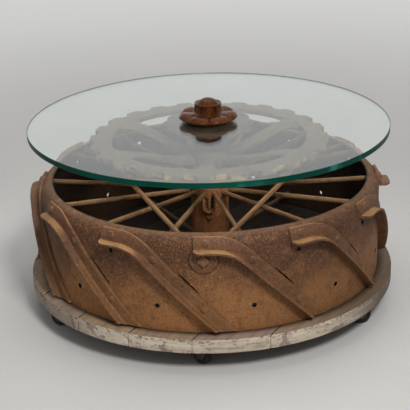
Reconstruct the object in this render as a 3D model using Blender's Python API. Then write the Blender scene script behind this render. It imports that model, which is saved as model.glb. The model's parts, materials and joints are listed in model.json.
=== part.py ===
"""Tractor wheel coffee table: a lugged steel wheel on a wooden plinth with castors, under a glass top.

Units are metres and +Z is up. The origin is on the floor, under the axis of the wheel.
Azimuths are in degrees, counter-clockwise from +X seen from above, so the front (-Y) is 270.
"""
import math

import bmesh
import bpy
from mathutils import Matrix, Vector

# Fits: the clearance between pieces that touch, and how deep joined shapes run into each other
GAP = 0.0003
OVERLAP = 0.002

# Castors; a turn is the direction in which a castor's wheel trails behind its stem
CASTOR_TURNS = (140.0, 20.0, 75.0, 310.0, 200.0, 152.0)
CASTOR_AZIMUTH = 268.0
CASTOR_INSET = 0.055
CASTOR_WHEEL_DIAMETER = 0.050
CASTOR_WHEEL_WIDTH = 0.020
CASTOR_TREAD_CHAMFER = 0.004
CASTOR_TRAIL = 0.018
CROWN_CLEARANCE = 0.0035
CROWN_THICKNESS = 0.004
COLLAR_HEIGHT = 0.003
COLLAR_DIAMETER = 0.024
FORK_THICKNESS = 0.0035
FORK_SIDE_CLEARANCE = 0.001
FORK_TOE_RADIUS = 0.009
AXLE_DIAMETER = 0.008
STEM_DIAMETER = 0.011
STEM_COVER = 0.011

# Plinth of edge-joined planks
PLINTH_MARGIN = 0.039
PLINTH_THICKNESS = 0.039
PLANK_WIDTH = 0.164
PLANK_DIRECTION = 60.0
FIRST_SEAM_OFFSET = 0.043
SEAM_WIDTH = 0.003
SEAM_DEPTH = 0.004

# Wheel rim
RIM_DIAMETER = 0.951
RIM_HEIGHT = 0.264
RIM_THICKNESS = 0.006
SHOULDER_RADIUS = 0.030
LIP_WIDTH = 0.006
RIM_HOLE_DIAMETER = 0.012
LOWER_HOLE_HEIGHT = 0.070
UPPER_HOLE_TURN = 3.0
LOWER_HOLE_TURN = 18.2

# Grousers: bent angle bars that cross the rim's face
GROUSER_COUNT = 12
GROUSER_AZIMUTH = 264.6
GROUSER_DROP = 0.038
GROUSER_FLANGE = 0.036
GROUSER_LEG = 0.030
GROUSER_LEG_END = 0.025
GROUSER_THICKNESS = 0.006
GROUSER_HEAD = 0.050
GROUSER_BEND_RADIUS = 0.100
GROUSER_SLOPE = 46.0
GROUSER_END_HEIGHT = 0.006
GROUSER_STATION = 0.042

# Square-headed bolt on a round plate under the front grouser
PLATE_DIAMETER = 0.072
PLATE_THICKNESS = 0.003
BOLT_HEAD_WIDTH = 0.024
BOLT_HEAD_HEIGHT = 0.009
BOLT_HEAD_CLEARANCE = 0.006
BOLT_INNER_LENGTH = 0.020

# Hub
HUB_DIAMETER = 0.107
HUB_FLANGE_REACH = 0.0085
HUB_FLANGE_HEIGHT = 0.028
HUB_FLANGE_CHAMFER = 0.004
HUB_FOOT_REACH = 0.0315
HUB_FOOT_HEIGHT = 0.010
HUB_NECK_STEP = 0.0085
HUB_RISE = 0.021
LUG_DIAMETER = 0.038
LUG_REACH = 0.022
LUG_ROOT = 0.016
LUG_DROP = 0.035
LUG_AZIMUTH = 268.0

# Spokes
SPOKE_DIAMETER = 0.014
UPPER_SPOKE_COUNT = 14
UPPER_SPOKE_AZIMUTH = 280.7
UPPER_SPOKE_DROP = 0.023
UPPER_SPOKE_FALL = 0.0215
LOWER_SPOKE_COUNT = 6
LOWER_SPOKE_AZIMUTH = 298.0
LOWER_FLANGE_RISE = 0.014

# Gear wheel with dished arms
GEAR_DIAMETER = 0.664
GEAR_TEETH = 24
GEAR_AZIMUTH = 268.0
TOOTH_DEPTH = 0.015
TOOTH_LAND_SHARE = 0.46
TOOTH_FLANK_SHARE = 0.10
GEAR_RING_WIDTH = 0.046
GEAR_RING_THICKNESS = 0.016
GEAR_DISH = 0.047
GEAR_ARMS = 6
ARM_WIDTH = 0.044
ARM_END_FLARE = 0.080
ARM_FLARE_LENGTH = 0.060
ARM_THICKNESS = 0.020
ARM_END_THICKNESS = 0.0105
ARM_END_STEP = 0.003
ARM_LAP = 0.020
GEAR_HUB_DIAMETER = 0.120
GEAR_HUB_PROUD = 0.0135
GEAR_HUB_BELOW = 0.0065

# Braces from the rim up to the gear; the spreads are half the angle between neighbours
BRACE_DIAMETER = 0.014
BRACE_PAIRS = 3
BRACE_RIM_SPREAD = 5.2
BRACE_GEAR_SPREAD = 2.0
BRACE_GEAR_LAP = 0.018

# Glass, its lobed seat, and the lobed cap whose spigot stands in the glass's hole
GLASS_DIAMETER = 1.000
GLASS_THICKNESS = 0.015
GLASS_HOLE_CLEARANCE = 0.001
SEAT_DIAMETER = 0.255
SEAT_EDGE_HEIGHT = 0.016
SEAT_EDGE_CHAMFER = 0.004
SEAT_FLARE_HEIGHT = 0.016
SEAT_NECK_DIAMETER = 0.076
SEAT_NECK_HEIGHT = 0.018
SEAT_FOOT_CONE = 0.012
SEAT_FOOT_REACH = 0.012
SEAT_FOOT_HEIGHT = 0.012
SEAT_LOBES = 12
SEAT_LOBE_DEPTH = 0.009
CAP_DIAMETER = 0.166
CAP_SPIGOT_DIAMETER = 0.110
CAP_FLANGE_LIFT = 0.006
CAP_FLANGE_HEIGHT = 0.0155
CAP_FLANGE_CHAMFER = 0.006
CAP_CONE_HEIGHT = 0.001
CAP_BOSS_DIAMETER = 0.076
CAP_BOSS_HEIGHT = 0.030
CAP_BOSS_CHAMFER = 0.003
CAP_BOSS_WAIST = 0.0025
CAP_BOSS_FOOT = 0.0045
CAP_BOSS_FOOT_HEIGHT = 0.004
CAP_WALL = 0.009
CAP_DISH_SLOPE = 0.004
CAP_DISH_DEPTH = 0.006
CAP_DOME_DIAMETER = 0.048
CAP_DOME_HEIGHT = 0.019
CAP_DOME_ROUND = 0.013
CAP_LOBES = 7
CAP_AZIMUTH = 40.6
CAP_LOBE_DEPTH = 0.009

# Tie rod through the middle
TIE_ROD_DIAMETER = 0.016
TIE_CLEARANCE = 0.0005
TIE_HEAD_WIDTH = 0.026
TIE_HEAD_HEIGHT = 0.009
TIE_THREAD_LENGTH = 0.024

# Facets
RIM_SEGMENTS = 64
DISC_SEGMENTS = 96
HUB_SEGMENTS = 28
CASTOR_SEGMENTS = 20
BAR_SIDES = 10
HOLE_SIDES = 16
SHOULDER_STEPS = 4
GROUSER_HEAD_STEPS = 2
GROUSER_BEND_STEPS = 4
ARM_STEPS = 9
FACETS_PER_SEAT_LOBE = 4
FACETS_PER_CAP_LOBE = 6
SHARP_ANGLE = 35.0

# Heights worked out from the floor up
wheel_radius = CASTOR_WHEEL_DIAMETER / 2
crown_bottom = CASTOR_WHEEL_DIAMETER + CROWN_CLEARANCE
crown_top = crown_bottom + CROWN_THICKNESS
plinth_bottom = crown_top + COLLAR_HEIGHT
plinth_top = plinth_bottom + PLINTH_THICKNESS
rim_bottom = plinth_top + GAP
rim_top = rim_bottom + RIM_HEIGHT
upper_hole_drop = BOLT_HEAD_WIDTH / math.sqrt(2.0) + BOLT_HEAD_CLEARANCE
upper_hole_height = RIM_HEIGHT - GROUSER_DROP - upper_hole_drop
hub_bottom = plinth_top + GAP
hub_top = rim_top + HUB_RISE
hub_flange_half = HUB_FLANGE_HEIGHT / 2
upper_spoke_rim_height = rim_top - UPPER_SPOKE_DROP
upper_spoke_hub_height = upper_spoke_rim_height - UPPER_SPOKE_FALL
lower_flange_bottom = hub_bottom + HUB_FOOT_HEIGHT + LOWER_FLANGE_RISE + HUB_FLANGE_CHAMFER
lower_spoke_height = lower_flange_bottom + hub_flange_half
gear_hub_bottom = hub_top + GAP
arm_hub_top = gear_hub_bottom + GEAR_HUB_BELOW + ARM_THICKNESS
gear_hub_top = arm_hub_top + GEAR_HUB_PROUD
gear_ring_top = arm_hub_top + GEAR_DISH
gear_ring_bottom = gear_ring_top - GEAR_RING_THICKNESS
seat_bottom = gear_hub_top + GAP
seat_neck_bottom = seat_bottom + SEAT_FOOT_HEIGHT + SEAT_FOOT_CONE
seat_neck_top = seat_neck_bottom + SEAT_NECK_HEIGHT
seat_edge_bottom = seat_neck_top + SEAT_FLARE_HEIGHT
seat_top = seat_edge_bottom + SEAT_EDGE_HEIGHT
glass_bottom = seat_top + GAP
glass_top = glass_bottom + GLASS_THICKNESS
cap_bottom = seat_top + GAP
cap_flange_bottom = glass_top + CAP_FLANGE_LIFT
tie_top = cap_flange_bottom + TIE_THREAD_LENGTH
tie_head_top = plinth_bottom - GAP

# Radii worked out from the sizes above
rim_radius = RIM_DIAMETER / 2
rim_inner_radius = rim_radius - RIM_THICKNESS
rim_facet_sag = rim_radius * (1.0 - math.cos(math.pi / RIM_SEGMENTS))
grouser_sag = GROUSER_STATION ** 2 / (8.0 * rim_radius)
plinth_radius = rim_radius + PLINTH_MARGIN
castor_circle_radius = plinth_radius - CASTOR_INSET
stem_length = PLINTH_THICKNESS - STEM_COVER
hub_radius = HUB_DIAMETER / 2
hub_flange_radius = hub_radius + HUB_FLANGE_REACH
shoulder_centre_radius = rim_radius - SHOULDER_RADIUS
shoulder_centre_height = RIM_HEIGHT - SHOULDER_RADIUS
gear_tip_radius = GEAR_DIAMETER / 2
gear_root_radius = gear_tip_radius - TOOTH_DEPTH
gear_inner_radius = gear_root_radius - GEAR_RING_WIDTH


def polar(radius, azimuth, height):
    """The point at a radius, an azimuth in degrees and a height."""
    angle = math.radians(azimuth)
    return Vector((radius * math.cos(angle), radius * math.sin(angle), height))


def around(inner_radius, sides):
    """The corner radius of a faceted hole whose flats clear a round bar of that radius."""
    return inner_radius / math.cos(math.pi / sides)


def make_material(name, colour, roughness, metallic, transmission=0.0):
    material = bpy.data.materials.new(name)
    material.use_nodes = True
    shader = material.node_tree.nodes["Principled BSDF"]
    shader.inputs["Base Color"].default_value = (*colour, 1.0)
    shader.inputs["Roughness"].default_value = roughness
    shader.inputs["Metallic"].default_value = metallic
    shader.inputs["Transmission Weight"].default_value = transmission
    material.diffuse_color = (*colour, 1.0)
    return material


def make_mesh(name, vertices, faces):
    """A closed mesh with its faces turned outwards and its round sides shaded smooth."""
    mesh = bpy.data.meshes.new(name)
    mesh.from_pydata([tuple(v) for v in vertices], [], faces)
    shell = bmesh.new()
    shell.from_mesh(mesh)
    bmesh.ops.recalc_face_normals(shell, faces=shell.faces)
    shell.to_mesh(mesh)
    shell.free()
    mesh.shade_smooth()
    mesh.set_sharp_from_angle(angle=math.radians(SHARP_ANGLE))
    return mesh


def place(name, mesh, material, location=(0.0, 0.0, 0.0), azimuth=0.0, parent=None):
    """A named object that shows a mesh, turned about Z."""
    mesh.materials.clear()
    mesh.materials.append(material)
    piece = bpy.data.objects.new(name, mesh)
    piece.location = location
    piece.rotation_euler = (0.0, 0.0, math.radians(azimuth))
    piece.parent = parent
    bpy.context.scene.collection.objects.link(piece)
    return piece


def turned(name, profile, segments, lobes=0):
    """A solid of revolution about Z.

    The profile holds (radius, height) or (radius, height, lobe depth) points in order round the section.
    A section that starts and ends on the axis is open there; any other section closes on itself.
    """
    vertices = []
    rings = []
    for point in profile:
        radius, height = point[0], point[1]
        depth = point[2] if len(point) > 2 else 0.0
        ring = []
        for step in range(segments if radius > 0.0 else 1):
            angle = 2.0 * math.pi * step / segments
            reach = radius - depth * (0.5 - 0.5 * math.cos(lobes * angle))
            ring.append(len(vertices))
            vertices.append((reach * math.cos(angle), reach * math.sin(angle), height))
        rings.append(ring)
    pairs = list(zip(rings, rings[1:]))
    if profile[0][0] > 0.0 or profile[-1][0] > 0.0:
        pairs.append((rings[-1], rings[0]))
    faces = []
    for lower, upper in pairs:
        for step in range(segments):
            following = (step + 1) % segments
            corners = [lower[step % len(lower)], lower[following % len(lower)],
                       upper[following % len(upper)], upper[step % len(upper)]]
            faces.append(list(dict.fromkeys(corners)))
    return make_mesh(name, vertices, faces)


def prism(name, outline, depth, matrix=None):
    """An outline in the XY plane extruded along +Z, then moved by a matrix."""
    matrix = matrix or Matrix.Identity(4)
    count = len(outline)
    vertices = [matrix @ Vector((x, y, 0.0)) for x, y in outline]
    vertices += [matrix @ Vector((x, y, depth)) for x, y in outline]
    faces = [list(range(count)), list(range(count, 2 * count))]
    for index in range(count):
        following = (index + 1) % count
        faces.append([index, following, count + following, count + index])
    return make_mesh(name, vertices, faces)


def circle(radius, sides):
    """The corners of a regular polygon about the origin."""
    steps = [2.0 * math.pi * step / sides for step in range(sides)]
    return [(radius * math.cos(angle), radius * math.sin(angle)) for angle in steps]


def box_outline(low_x, high_x, low_y, high_y):
    return [(low_x, low_y), (high_x, low_y), (high_x, high_y), (low_x, high_y)]


def bar(name, start, end, diameter):
    """A straight round bar between two points."""
    axis = end - start
    matrix = Matrix.Translation(start) @ axis.to_track_quat("Z", "X").to_matrix().to_4x4()
    return prism(name, circle(diameter / 2, BAR_SIDES), axis.length, matrix)


def loft(name, sections):
    """A solid through equal-length closed sections, capped at both ends."""
    count = len(sections[0])
    vertices = [point for section in sections for point in section]
    faces = [list(range(count)), list(range(len(vertices) - count, len(vertices)))]
    for station in range(len(sections) - 1):
        base = station * count
        for index in range(count):
            following = (index + 1) % count
            faces.append([base + index, base + following, base + count + following, base + count + index])
    return make_mesh(name, vertices, faces)


def combine(mesh, tools, operation):
    """The mesh after a Boolean with each tool mesh in turn."""
    scene_objects = bpy.context.scene.collection.objects
    target = bpy.data.objects.new("boolean_target", mesh)
    scene_objects.link(target)
    cutters = []
    for tool in tools:
        cutter = bpy.data.objects.new("boolean_tool", tool)
        scene_objects.link(cutter)
        cutters.append(cutter)
        modifier = target.modifiers.new("Boolean", "BOOLEAN")
        modifier.operation = operation
        modifier.solver = "EXACT"
        modifier.object = cutter
    bpy.context.view_layer.update()
    graph = bpy.context.evaluated_depsgraph_get()
    result = bpy.data.meshes.new_from_object(target.evaluated_get(graph))
    result.name = mesh.name
    for leftover in [target, *cutters]:
        bpy.data.objects.remove(leftover)
    result.shade_smooth()
    result.set_sharp_from_angle(angle=math.radians(SHARP_ANGLE))
    return result


def rim_point(arc, height, proud):
    """A point on the rim's outer face.

    arc is the length round the rim, height the length up its outer profile from the bottom edge, and
    proud the distance out from the face.
    """
    azimuth = math.degrees(arc / rim_radius)
    if height <= shoulder_centre_height:
        return polar(rim_radius + proud, azimuth, rim_bottom + height)
    bend = (height - shoulder_centre_height) / SHOULDER_RADIUS
    reach = SHOULDER_RADIUS + proud
    radius = shoulder_centre_radius + reach * math.cos(bend)
    return polar(radius, azimuth, rim_bottom + shoulder_centre_height + reach * math.sin(bend))


def make_rim():
    lip_radius = shoulder_centre_radius - LIP_WIDTH
    centre = rim_bottom + shoulder_centre_height
    inner_bend = SHOULDER_RADIUS - RIM_THICKNESS
    angles = [math.pi / 2 * step / SHOULDER_STEPS for step in range(SHOULDER_STEPS + 1)]
    profile = [(rim_radius, rim_bottom)]
    for angle in angles:
        profile.append((shoulder_centre_radius + SHOULDER_RADIUS * math.cos(angle),
                        centre + SHOULDER_RADIUS * math.sin(angle)))
    profile += [(lip_radius, rim_top), (lip_radius, rim_top - RIM_THICKNESS)]
    for angle in reversed(angles):
        profile.append((shoulder_centre_radius + inner_bend * math.cos(angle),
                        centre + inner_bend * math.sin(angle)))
    profile.append((rim_inner_radius, rim_bottom))
    rim = turned("rim", profile, RIM_SEGMENTS)

    vertices = []
    faces = []
    for index in range(GROUSER_COUNT):
        start = GROUSER_AZIMUTH + 360.0 * index / GROUSER_COUNT
        for turn, height in ((UPPER_HOLE_TURN, upper_hole_height), (LOWER_HOLE_TURN, LOWER_HOLE_HEIGHT)):
            inner = polar(rim_inner_radius - RIM_THICKNESS, start + turn, rim_bottom + height)
            outer = polar(rim_radius + RIM_THICKNESS, start + turn, rim_bottom + height)
            cutter = bar("hole", inner, outer, RIM_HOLE_DIAMETER)
            base = len(vertices)
            vertices += [vertex.co.copy() for vertex in cutter.vertices]
            faces += [[base + corner for corner in face.vertices] for face in cutter.polygons]
            bpy.data.meshes.remove(cutter)
    return combine(rim, [make_mesh("holes", vertices, faces)], "DIFFERENCE")


def grouser_path():
    """Stations along a grouser: (arc, height) of its lower edge and of its upper edge.

    The bar runs level, bends downwards and then runs straight to the foot of the rim, where its end is
    cut level.
    """
    slope = math.radians(GROUSER_SLOPE)
    lower_start = RIM_HEIGHT - GROUSER_DROP
    stations = []
    for step in range(GROUSER_HEAD_STEPS):
        arc = GROUSER_HEAD * step / GROUSER_HEAD_STEPS
        stations.append(((arc, lower_start), (arc, lower_start + GROUSER_FLANGE)))
    centre = (GROUSER_HEAD, lower_start - GROUSER_BEND_RADIUS)
    for step in range(GROUSER_BEND_STEPS + 1):
        angle = slope * step / GROUSER_BEND_STEPS
        edges = []
        for radius in (GROUSER_BEND_RADIUS, GROUSER_BEND_RADIUS + GROUSER_FLANGE):
            edges.append((centre[0] + radius * math.sin(angle), centre[1] + radius * math.cos(angle)))
        stations.append(tuple(edges))
    bend_end = stations[-1]
    longest_run = (bend_end[1][1] - GROUSER_END_HEIGHT) / math.tan(slope)
    run_steps = math.ceil(longest_run / GROUSER_STATION)
    for step in range(1, run_steps + 1):
        edges = []
        for arc, height in bend_end:
            drop = (height - GROUSER_END_HEIGHT) * step / run_steps
            edges.append((arc + drop / math.tan(slope), height - drop))
        stations.append(tuple(edges))
    return stations


def make_grouser():
    """One grouser at azimuth zero: a flange on the rim's face and a leg standing out along its lower edge.

    The leg stands out less towards the foot of the rim.
    """
    inner = GAP + grouser_sag
    outer = inner + GROUSER_THICKNESS
    web = GROUSER_THICKNESS / GROUSER_FLANGE
    flange = [(0.0, inner), (0.25, inner), (0.5, inner), (0.75, inner), (1.0, inner), (1.0, outer),
              (0.6, outer), (web, outer)]
    stations = grouser_path()
    foot_arc = stations[-1][0][0]
    sections = []
    for lower, upper in stations:
        leg = GROUSER_LEG + (GROUSER_LEG_END - GROUSER_LEG) * lower[0] / foot_arc
        points = []
        for share, proud in [*flange, (web, inner + leg), (0.0, inner + leg)]:
            arc = lower[0] + (upper[0] - lower[0]) * share
            height = lower[1] + (upper[1] - lower[1]) * share
            points.append(rim_point(arc, height, proud))
        sections.append(points)
    return loft("grouser", sections)


def make_rim_bolt():
    """The square-headed bolt with its plate, trimmed under the grouser's leg; +X points out of the rim."""
    bolt_height = rim_bottom + upper_hole_height
    room_above = upper_hole_drop - GAP
    outwards = Matrix.Rotation(math.pi / 2, 4, "Z") @ Matrix.Rotation(math.pi / 2, 4, "X")
    base = Matrix.Translation((rim_radius + GAP, 0.0, bolt_height)) @ outwards
    outline = [(x, min(y, room_above)) for x, y in circle(PLATE_DIAMETER / 2, DISC_SEGMENTS // 4)]
    plate = prism("rim_bolt", outline, PLATE_THICKNESS, base)
    head_base = base @ Matrix.Translation((0.0, 0.0, PLATE_THICKNESS - OVERLAP / 2))
    half_diagonal = BOLT_HEAD_WIDTH / math.sqrt(2.0)
    head = prism("head", circle(half_diagonal, 4), BOLT_HEAD_HEIGHT + OVERLAP / 2, head_base)
    shank_length = RIM_THICKNESS + BOLT_INNER_LENGTH
    shank_radius = RIM_HOLE_DIAMETER / 2 * math.cos(math.pi / BAR_SIDES) - GAP
    shank_base = base @ Matrix.Translation((0.0, 0.0, -shank_length))
    shank = prism("shank", circle(shank_radius, BAR_SIDES), shank_length + PLATE_THICKNESS / 2, shank_base)
    return combine(plate, [head, shank], "UNION")


def bored_radius(sides):
    """The corner radius of a hole for the tie rod."""
    return around(TIE_ROD_DIAMETER / 2 + TIE_CLEARANCE, sides)


def make_hub():
    bore = bored_radius(HUB_SEGMENTS)
    foot = hub_radius + HUB_FOOT_REACH
    neck = hub_radius - HUB_NECK_STEP
    edge = hub_flange_half + HUB_FLANGE_CHAMFER
    profile = [(bore, hub_bottom), (foot, hub_bottom), (foot, hub_bottom + HUB_FOOT_HEIGHT)]
    for height in (lower_spoke_height, upper_spoke_hub_height):
        profile += [(hub_radius, height - edge), (hub_flange_radius, height - hub_flange_half),
                    (hub_flange_radius, height + hub_flange_half), (hub_radius, height + edge)]
    profile += [(neck, upper_spoke_hub_height + edge + HUB_FLANGE_CHAMFER), (neck, hub_top), (bore, hub_top)]
    hub = turned("hub", profile, HUB_SEGMENTS)
    lug_height = upper_spoke_hub_height - LUG_DROP
    inner = polar(hub_radius - LUG_ROOT, LUG_AZIMUTH, lug_height)
    outer = polar(hub_radius + LUG_REACH, LUG_AZIMUTH, lug_height)
    return combine(hub, [bar("lug", inner, outer, LUG_DIAMETER)], "UNION")


def shoulder_wall(height):
    """The radius of the rim's inner face at a height, which falls where the shoulder turns inwards."""
    inner_bend = SHOULDER_RADIUS - RIM_THICKNESS
    lift = min(max(height - rim_bottom - shoulder_centre_height, 0.0), inner_bend)
    return shoulder_centre_radius + math.sqrt(inner_bend ** 2 - lift ** 2)


def make_upper_spoke():
    """An upper spoke at azimuth zero, from the hub's flange out and up to the inside of the shoulder."""
    wall = shoulder_wall(upper_spoke_rim_height + SPOKE_DIAMETER / 2)
    end_radius = wall - rim_facet_sag - 2 * GAP
    start_radius = hub_flange_radius + GAP
    return bar("upper_spoke", Vector((start_radius, 0.0, upper_spoke_hub_height)),
               Vector((end_radius, 0.0, upper_spoke_rim_height)), SPOKE_DIAMETER)


def make_lower_spoke():
    start_radius = hub_flange_radius + GAP
    end_radius = rim_inner_radius - rim_facet_sag - GAP
    return bar("lower_spoke", Vector((start_radius, 0.0, lower_spoke_height)),
               Vector((end_radius, 0.0, lower_spoke_height)), SPOKE_DIAMETER)


def make_gear():
    pitch = 2.0 * math.pi / GEAR_TEETH
    half_land = TOOTH_LAND_SHARE / 2
    corners = [(-half_land - TOOTH_FLANK_SHARE, gear_root_radius), (-half_land, gear_tip_radius),
               (half_land, gear_tip_radius), (half_land + TOOTH_FLANK_SHARE, gear_root_radius)]
    outer = []
    inner = []
    for tooth in range(GEAR_TEETH):
        for share, radius in corners:
            angle = pitch * (tooth + share)
            outer.append((radius * math.cos(angle), radius * math.sin(angle)))
            inner.append((gear_inner_radius * math.cos(angle), gear_inner_radius * math.sin(angle)))
    sections = []
    for (out_x, out_y), (in_x, in_y) in zip(outer, inner):
        sections.append([(out_x, out_y, gear_ring_bottom), (out_x, out_y, gear_ring_top),
                         (in_x, in_y, gear_ring_top), (in_x, in_y, gear_ring_bottom)])
    count = len(sections)
    vertices = [point for section in sections for point in section]
    faces = []
    for station in range(count):
        base, after = 4 * station, 4 * ((station + 1) % count)
        for index in range(4):
            following = (index + 1) % 4
            faces.append([base + index, base + following, after + following, after + index])
    ring = make_mesh("gear_wheel", vertices, faces)

    bore = bored_radius(HUB_SEGMENTS)
    hub = turned("gear_hub", [(bore, gear_hub_bottom), (GEAR_HUB_DIAMETER / 2, gear_hub_bottom),
                              (GEAR_HUB_DIAMETER / 2, gear_hub_top), (bore, gear_hub_top)], HUB_SEGMENTS)
    arms = [make_gear_arm(360.0 * index / GEAR_ARMS) for index in range(GEAR_ARMS)]
    return combine(ring, [hub, *arms], "UNION")


def make_gear_arm(azimuth):
    """A dished arm that widens where it meets the ring, so the openings have rounded outer ends."""
    start = (GEAR_HUB_DIAMETER / 2 + TIE_ROD_DIAMETER / 2) / 2
    end = gear_inner_radius + ARM_LAP
    rise_start = GEAR_HUB_DIAMETER / 2
    top_at_ring = gear_ring_top - ARM_END_STEP
    turn = Matrix.Rotation(math.radians(azimuth), 4, "Z")
    sections = []
    for step in range(ARM_STEPS + 1):
        radius = start + (end - start) * step / ARM_STEPS
        share = min(max((radius - rise_start) / (gear_inner_radius - rise_start), 0.0), 1.0)
        ease = share * share * (3.0 - 2.0 * share)
        top = arm_hub_top + (top_at_ring - arm_hub_top) * ease
        bottom = top - ARM_THICKNESS - (ARM_END_THICKNESS - ARM_THICKNESS) * ease
        near_ring = min(max((radius - gear_inner_radius) / ARM_FLARE_LENGTH + 1.0, 0.0), 1.0)
        half = ARM_WIDTH / 2 + ARM_END_FLARE / 2 * (1.0 - math.sqrt(1.0 - near_ring ** 2))
        corners = [(-half, bottom), (half, bottom), (half, top), (-half, top)]
        sections.append([turn @ Vector((radius, side, height)) for side, height in corners])
    return loft("gear_arm", sections)


def make_brace(pair, side):
    """A brace that climbs from inside the rim's shoulder to the underside of the gear.

    Two braces start side by side in a bay between two upper spokes, and lean away from each other. Each
    ends under an arm of the gear, next to the brace that comes from the next bay.
    """
    bay = round(UPPER_SPOKE_COUNT * pair / BRACE_PAIRS)
    rim_azimuth = UPPER_SPOKE_AZIMUTH + 360.0 / UPPER_SPOKE_COUNT * (bay - 0.5) + side * BRACE_RIM_SPREAD
    half_turn = 180.0 / BRACE_PAIRS
    gear_azimuth = GEAR_AZIMUTH + 2 * half_turn * pair + side * (half_turn - BRACE_GEAR_SPREAD)
    gear_end = polar(gear_inner_radius + BRACE_GEAR_LAP, gear_azimuth, gear_ring_bottom)
    wall = shoulder_wall(upper_spoke_rim_height + BRACE_DIAMETER / 2)
    rim_end = polar(wall, rim_azimuth, upper_spoke_rim_height)
    run = (gear_end - rim_end).normalized()
    oblique = math.sqrt(1.0 - run.dot(polar(1.0, rim_azimuth, 0.0)) ** 2)
    setback = BRACE_DIAMETER / 2 * oblique + rim_facet_sag + GAP
    rim_end = polar(wall - setback, rim_azimuth, upper_spoke_rim_height)
    gear_end.z -= BRACE_DIAMETER / 2 * math.hypot(run.x, run.y) + GAP
    return bar("brace", rim_end, gear_end, BRACE_DIAMETER)


def make_seat():
    segments = SEAT_LOBES * FACETS_PER_SEAT_LOBE
    bore = bored_radius(segments)
    disc = SEAT_DIAMETER / 2
    neck = SEAT_NECK_DIAMETER / 2
    foot = neck + SEAT_FOOT_REACH
    profile = [(bore, seat_bottom), (foot, seat_bottom), (foot, seat_bottom + SEAT_FOOT_HEIGHT),
               (neck, seat_neck_bottom), (neck, seat_neck_top),
               ((neck + disc) / 2, seat_edge_bottom, SEAT_LOBE_DEPTH / 2),
               (disc, seat_edge_bottom + SEAT_EDGE_CHAMFER, SEAT_LOBE_DEPTH),
               (disc, seat_top - SEAT_EDGE_CHAMFER, SEAT_LOBE_DEPTH),
               (disc - SEAT_EDGE_CHAMFER, seat_top, SEAT_LOBE_DEPTH), (bore, seat_top)]
    return turned("glass_seat", profile, segments, SEAT_LOBES)


def make_cap():
    """The cap: a spigot on the seat, a lobed flange that slopes up to a boss, and a dome in its dish."""
    segments = CAP_LOBES * FACETS_PER_CAP_LOBE
    bore = bored_radius(segments)
    spigot = CAP_SPIGOT_DIAMETER / 2
    flange = CAP_DIAMETER / 2
    flange_edge = flange - CAP_FLANGE_CHAMFER
    boss = CAP_BOSS_DIAMETER / 2
    dome = CAP_DOME_DIAMETER / 2
    flange_top = cap_flange_bottom + CAP_FLANGE_HEIGHT
    boss_bottom = flange_top + CAP_CONE_HEIGHT
    boss_top = boss_bottom + CAP_BOSS_HEIGHT
    dish_bottom = boss_top - CAP_DISH_DEPTH
    dome_top = dish_bottom + CAP_DOME_HEIGHT
    profile = [(0.0, dome_top), (dome - CAP_DOME_ROUND, dome_top - CAP_DOME_ROUND / 3),
               (dome, dome_top - CAP_DOME_ROUND), (dome, dish_bottom),
               (boss - CAP_WALL - CAP_DISH_SLOPE, dish_bottom), (boss - CAP_WALL, boss_top),
               (boss - CAP_BOSS_CHAMFER, boss_top), (boss, boss_top - CAP_BOSS_CHAMFER),
               (boss - CAP_BOSS_WAIST, boss_bottom + CAP_BOSS_FOOT_HEIGHT),
               (boss + CAP_BOSS_FOOT, boss_bottom), (flange_edge, flange_top, CAP_LOBE_DEPTH),
               (flange, (cap_flange_bottom + flange_top) / 2, CAP_LOBE_DEPTH),
               (flange_edge, cap_flange_bottom, CAP_LOBE_DEPTH),
               (spigot, cap_flange_bottom), (spigot, cap_bottom), (bore, cap_bottom),
               (bore, tie_top + GAP), (0.0, tie_top + GAP)]
    return turned("top_cap", profile, segments, CAP_LOBES)


def make_glass():
    hole = around(CAP_SPIGOT_DIAMETER / 2 + GLASS_HOLE_CLEARANCE, DISC_SEGMENTS)
    radius = GLASS_DIAMETER / 2
    profile = [(hole, glass_bottom), (radius, glass_bottom), (radius, glass_top), (hole, glass_top)]
    return turned("glass_top", profile, DISC_SEGMENTS)


def make_tie_rod():
    """A long bolt: a hexagon head under the plinth and a plain shank up into the cap."""
    radius = TIE_ROD_DIAMETER / 2
    shank = prism("tie_rod", circle(radius, HOLE_SIDES), tie_top - tie_head_top + TIE_HEAD_HEIGHT / 2,
                  Matrix.Translation((0.0, 0.0, tie_head_top - TIE_HEAD_HEIGHT / 2)))
    head = prism("head", circle(around(TIE_HEAD_WIDTH / 2, 6), 6), TIE_HEAD_HEIGHT,
                 Matrix.Translation((0.0, 0.0, tie_head_top - TIE_HEAD_HEIGHT)))
    return combine(shank, [head], "UNION")


def castor_azimuths():
    count = len(CASTOR_TURNS)
    return [CASTOR_AZIMUTH + 360.0 * index / count for index in range(count)]


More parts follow.
